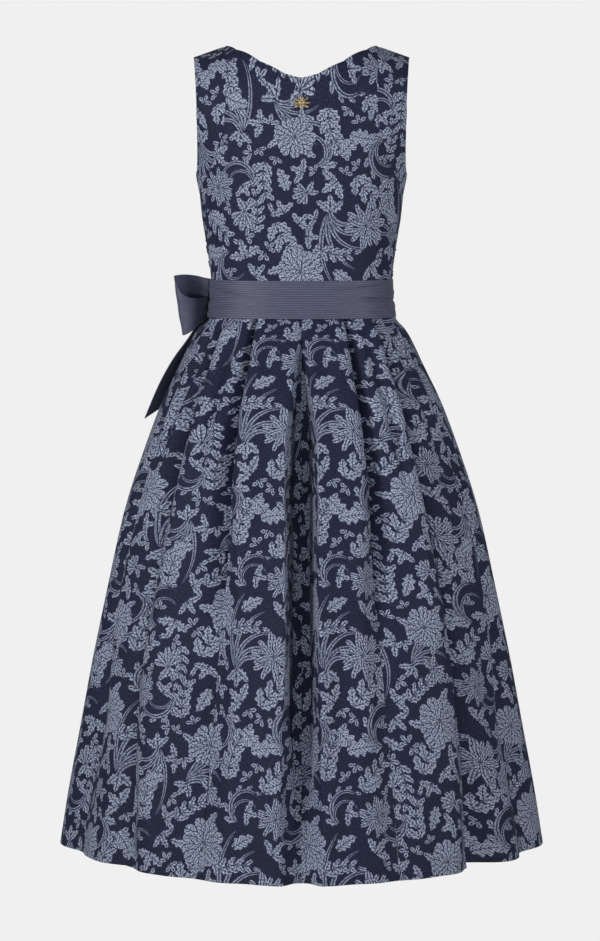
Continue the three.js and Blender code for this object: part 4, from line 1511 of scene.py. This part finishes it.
# %% Ribbons with folds at the knot
def ribbon(name, stations, width, length, folds, both_ends):
    """A ribbon whose cloth coordinates run along its length and across its width."""

    def place(flat):
        t = np.clip(flat[:, 0] / length, 0, 1)
        share = np.clip(flat[:, 1] / width, 0, 1)
        row = spline(stations, t)
        near_knot = np.exp(-t * GATHER_FADE)
        if both_ends:
            near_knot = near_knot + np.exp(-(1 - t) * GATHER_FADE)
        step = spline(stations, np.clip(t + 0.01, 0, 1)) - spline(stations, np.clip(t - 0.01, 0, 1))
        normal = np.cross(step[:, :3] + step[:, 3:], row[:, 3:] - row[:, :3])
        normal /= np.linalg.norm(normal, axis=1, keepdims=True)
        lift = folds * near_knot * np.sin(share * KNOT_FOLDS * math.pi + 0.6)
        lift = lift + RIPPLE * np.sin(share * math.pi * 1.3 + 5 * t) * (1 - near_knot).clip(0)
        return mix(row[:, :3], row[:, 3:], share[:, None]) + normal * lift[:, None]

    along, across = np.linspace(0, length, 90), np.linspace(0, width, 30)
    return cloth_grid(name, place, along, across, RIBBON_WALL, taffeta)


loop_back, loop_front = (
    ribbon(name, stations, LOOP_WIDTH, LOOP_LENGTH, LOOP_FOLD_DEPTH, both_ends=True)
    for name, stations in (
        ("bow_loop_back_cloth", LOOP_STATIONS),
        ("bow_loop_front_cloth", front_loop(LOOP_STATIONS)),
    )
)
tail_back, tail_front = (
    ribbon(name, stations, TAIL_WIDTH, length, TAIL_FOLD_DEPTH, both_ends=False)
    for name, stations, length in (
        ("bow_tail_back_cloth", TAIL_BACK, 190),
        ("bow_tail_front_cloth", TAIL_FRONT, 200),
    )
)


# %% Knot
KNOT_POWER = 0.62  # between an oval and a box
KNOT_ROUND = 100 * MM  # length of ribbon round the knot


def knot_wrap(rings=40, sides=56):
    """A rounded block with creases that run round it, as a tightly wrapped ribbon has."""
    along = np.linspace(-1, 1, rings)
    around = np.linspace(0, 2 * math.pi, sides, endpoint=False)
    a, t = np.meshgrid(along, around, indexing="ij")
    round_off = (1 - np.abs(a) ** 5) ** 0.4
    crease = 1 - 0.05 * np.sin(a * 11 + 0.8 * np.sin(2 * t)) ** 2 - 0.04 * np.sin(a * 23 + t) ** 2
    reach = round_off * crease
    x = KNOT["thick"] / 2 * reach * np.sign(np.cos(t)) * np.abs(np.cos(t)) ** KNOT_POWER
    z = KNOT["tall"] / 2 * reach * np.sign(np.sin(t)) * np.abs(np.sin(t)) ** KNOT_POWER
    y = KNOT["wide"] / 2 * a
    points = np.stack([KNOT["x"] + x, KNOT["y"] + y, KNOT["z"] + z], axis=-1)[1:-1].reshape(-1, 3)
    rings -= 2  # the first and the last ring are closed to a single point
    ends = [(KNOT["x"], KNOT["y"] + end * KNOT["wide"] / 2, KNOT["z"]) for end in (-1, 1)]
    points = np.concatenate([points, ends])
    faces = []
    for r in range(rings - 1):
        for s in range(sides):
            n = (s + 1) % sides
            faces.append((r * sides + s, r * sides + n, (r + 1) * sides + n, (r + 1) * sides + s))
    for s in range(sides):
        n = (s + 1) % sides
        faces.append((rings * sides, n, s))
        faces.append((rings * sides + 1, (rings - 1) * sides + s, (rings - 1) * sides + n))
    mesh = bpy.data.meshes.new("bow_knot_cloth")
    mesh.from_pydata(points * MM, [], faces)
    layer = mesh.uv_layers.new(name="cloth")
    for loop in mesh.loops:
        ring, side = divmod(min(loop.vertex_index, rings * sides - 1), sides)
        layer.uv[loop.index].vector = (KNOT_ROUND * side / sides, KNOT["wide"] * MM * ring / rings)
    mesh.polygons.foreach_set("use_smooth", [True] * len(mesh.polygons))
    mesh.materials.append(taffeta)
    piece = bpy.data.objects.new("bow_knot_cloth", mesh)
    bpy.context.collection.objects.link(piece)
    return piece


knot = knot_wrap()
print("bow: knot", len(knot.data.polygons), "faces, loops", len(loop_back.data.polygons))

# %% [markdown]
# ## Charm
# A small metal flower is sewn on below the nape. Its petals repeat round a centre, so Geometry
# Nodes place them: a ring of points, one petal on each, turned to its own angle.


# %% Geometry Nodes helpers
def run_geometry_nodes(piece, tree, values):
    """Runs a tree on a piece with its named inputs set, and keeps the result as a plain mesh."""
    modifier = piece.modifiers.new(tree.name, "NODES")
    modifier.node_group = tree
    for item in tree.interface.items_tree:
        if item.item_type == "SOCKET" and item.in_out == "INPUT" and item.name in values:
            modifier[item.identifier] = values[item.name]
    piece.data.update()
    made = plain_mesh(piece)
    made.name = piece.name
    piece.modifiers.clear()
    piece.data = made
    return piece


def new_tree(name, inputs):
    tree = bpy.data.node_groups.new(name, "GeometryNodeTree")
    tree.interface.new_socket("Geometry", in_out="INPUT", socket_type="NodeSocketGeometry")
    for label, kind, value in inputs:
        tree.interface.new_socket(label, in_out="INPUT", socket_type=kind).default_value = value
    tree.interface.new_socket("Geometry", in_out="OUTPUT", socket_type="NodeSocketGeometry")
    return tree, tree.nodes.new("NodeGroupInput")


def finish_tree(tree, geometry, material):
    real = add_node(tree, "GeometryNodeRealizeInstances", {"Geometry": geometry})
    painted = add_node(
        tree, "GeometryNodeSetMaterial", {"Geometry": real.outputs[0], "Material": material}
    )
    add_node(tree, "NodeGroupOutput", {"Geometry": painted.outputs[0]})
    return tree


# %% The charm's petals and boss
CHARM = {"z": -92.0, "wide": 13.4, "tall": 10.0, "thick": 1.6}
PETAL_RING = {"Petals": 8, "Radius": 0.0062, "Size": 0.0042}  # metres
PETAL_SCALE = (1.0, 0.42, 0.19)  # a petal is longer than wide, and thin
BOSS_RADIUS = 0.0026
BOSS_RISE = 0.0011
SEAT_GAP = 0.3  # millimetres between the charm and the cloth


def petal_ring_tree():
    """A ring of points, with a flattened ball on each that is turned to its own angle."""
    kinds = ("NodeSocketInt", "NodeSocketFloat", "NodeSocketFloat")
    tree, given = new_tree(
        "petal_ring", [(label, kind, value) for (label, value), kind in zip(PETAL_RING.items(), kinds)]
    )
    count, radius, size = (given.outputs[label] for label in PETAL_RING)
    ring = add_node(tree, "GeometryNodeCurvePrimitiveCircle", {"Resolution": count, "Radius": radius})
    spots = add_node(tree, "GeometryNodeCurveToPoints", {"Curve": ring.outputs[0]}, mode="EVALUATED")
    petal = add_node(tree, "GeometryNodeMeshUVSphere", {"Segments": 16, "Rings": 10, "Radius": size})
    shaped = add_node(
        tree, "GeometryNodeTransform", {"Geometry": petal.outputs["Mesh"], "Scale": PETAL_SCALE}
    )
    number = add_node(tree, "GeometryNodeInputIndex")
    share = add_node(tree, "ShaderNodeMath", {0: number.outputs[0], 1: count}, operation="DIVIDE")
    turn = add_node(tree, "ShaderNodeMath", {0: share.outputs[0], 1: 2 * math.pi}, operation="MULTIPLY")
    angles = add_node(tree, "ShaderNodeCombineXYZ", {"Z": turn.outputs[0]})
    lay = add_node(
        tree,
        "GeometryNodeInstanceOnPoints",
        {"Points": spots.outputs[0], "Instance": shaped.outputs[0], "Rotation": angles.outputs[0]},
    )
    both = add_node(tree, "GeometryNodeJoinGeometry", {"Geometry": lay.outputs[0]})
    tree.links.new(given.outputs["Geometry"], both.inputs["Geometry"])
    return finish_tree(tree, both.outputs[0], brass)


def bare_object(name):
    piece = bpy.data.objects.new(name, bpy.data.meshes.new(name))
    bpy.context.collection.objects.link(piece)
    return piece


charm = run_geometry_nodes(bare_object("neck_charm_metal"), petal_ring_tree(), PETAL_RING)


def domed_boss(radius, rise, rings=5, sides=20):
    """The flower's middle: a low dome, closed at its back, in the flower's own plane."""
    points, faces = [(0, 0, rise), (0, 0, -rise)], []
    turns = np.linspace(0, 2 * math.pi, sides, endpoint=False)
    for ring in range(1, 2 * rings):
        lean = math.pi * ring / (2 * rings)
        out, up = radius * math.sin(lean), rise * math.cos(lean)
        points += [(out * math.cos(t), out * math.sin(t), up) for t in turns]
    last = 2 * rings - 2
    for s in range(sides):
        n = (s + 1) % sides
        faces.append((0, 2 + s, 2 + n))
        faces.append((1, 2 + last * sides + n, 2 + last * sides + s))
        for ring in range(last):
            a, b = 2 + ring * sides, 2 + (ring + 1) * sides
            faces.append((a + s, b + s, b + n, a + n))
    return np.array(points), faces


def stand_charm_up():
    """Turns the flat flower to face backwards on the cloth below the nape, wider than tall."""
    seat = torso_place(-1, np.zeros(2), np.array([CHARM["z"] + 8, CHARM["z"] - 8]))[:, 1].mean()
    petals = np.array([v.co for v in charm.data.vertices])
    faces = [list(p.vertices) for p in charm.data.polygons]
    boss, boss_faces = domed_boss(BOSS_RADIUS, BOSS_RISE)
    reach = np.abs(petals[:, :2]).max(axis=0)
    flat = np.concatenate([petals, boss])
    places = np.stack(
        [
            flat[:, 0] / reach[0] * CHARM["wide"] * MM,
            (seat - SEAT_GAP - CHARM["thick"] / 2) * MM - flat[:, 2],
            CHARM["z"] * MM + flat[:, 1] / reach[1] * CHARM["tall"] * MM,
        ],
        axis=-1,
    )
    faces += [[i + len(petals) for i in face] for face in boss_faces]
    mesh = bpy.data.meshes.new("neck_charm_metal")
    mesh.from_pydata(places, [], faces)
    mesh.polygons.foreach_set("use_smooth", [True] * len(faces))
    mesh.materials.append(brass)
    charm.data = mesh


stand_charm_up()
print("charm:", len(charm.data.polygons), "faces")

# %% [markdown]
# ## Which piece stands for which part
# Every piece has the form of one node of the construction, in its finished cloth or metal, so it
# replaces that node. The size that each flat piece of cloth was cut to is listed beside it.

# %% Hand the pieces to the frame
# Width and length of the rectangle that each panel is cut from, in metres, and the panel's area
BODICE_FLATS = {
    "back_panel": (0.21, 0.35, 0.057),
    "back_side": (0.12, 0.27, 0.012),
    "front_panel": (0.26, 0.42, 0.058),
}
for name, piece in bodice.items():
    width, length, area = BODICE_FLATS[name.rsplit("_", 1)[0]]
    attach(piece, "root")
    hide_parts(name)
for name, piece in skirt.items():
    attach(piece, "root")
    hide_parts(name)
    flat, area = ((0.75, 0.81), 0.54) if "back" in name else ((0.57, 0.81), 0.40)
for piece, node, flat in (
    (apron, "apron_skirt", (0.82, 0.76)),
    (waistband, "apron_waistband", (0.385, 0.056)),
    (tie, "apron_tie", (0.385, 0.056)),
    (loop_back, "bow_loop_back", (0.13, 0.07)),
    (loop_front, "bow_loop_front", (0.13, 0.07)),
    (tail_back, "bow_tail_back", (0.048, 0.18)),
    (tail_front, "bow_tail_front", (0.055, 0.19)),
):
    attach(piece, "root")
    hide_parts(node)
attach(knot, "root")
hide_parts("bow_knot")
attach(charm, "root")
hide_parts("neck_charm")
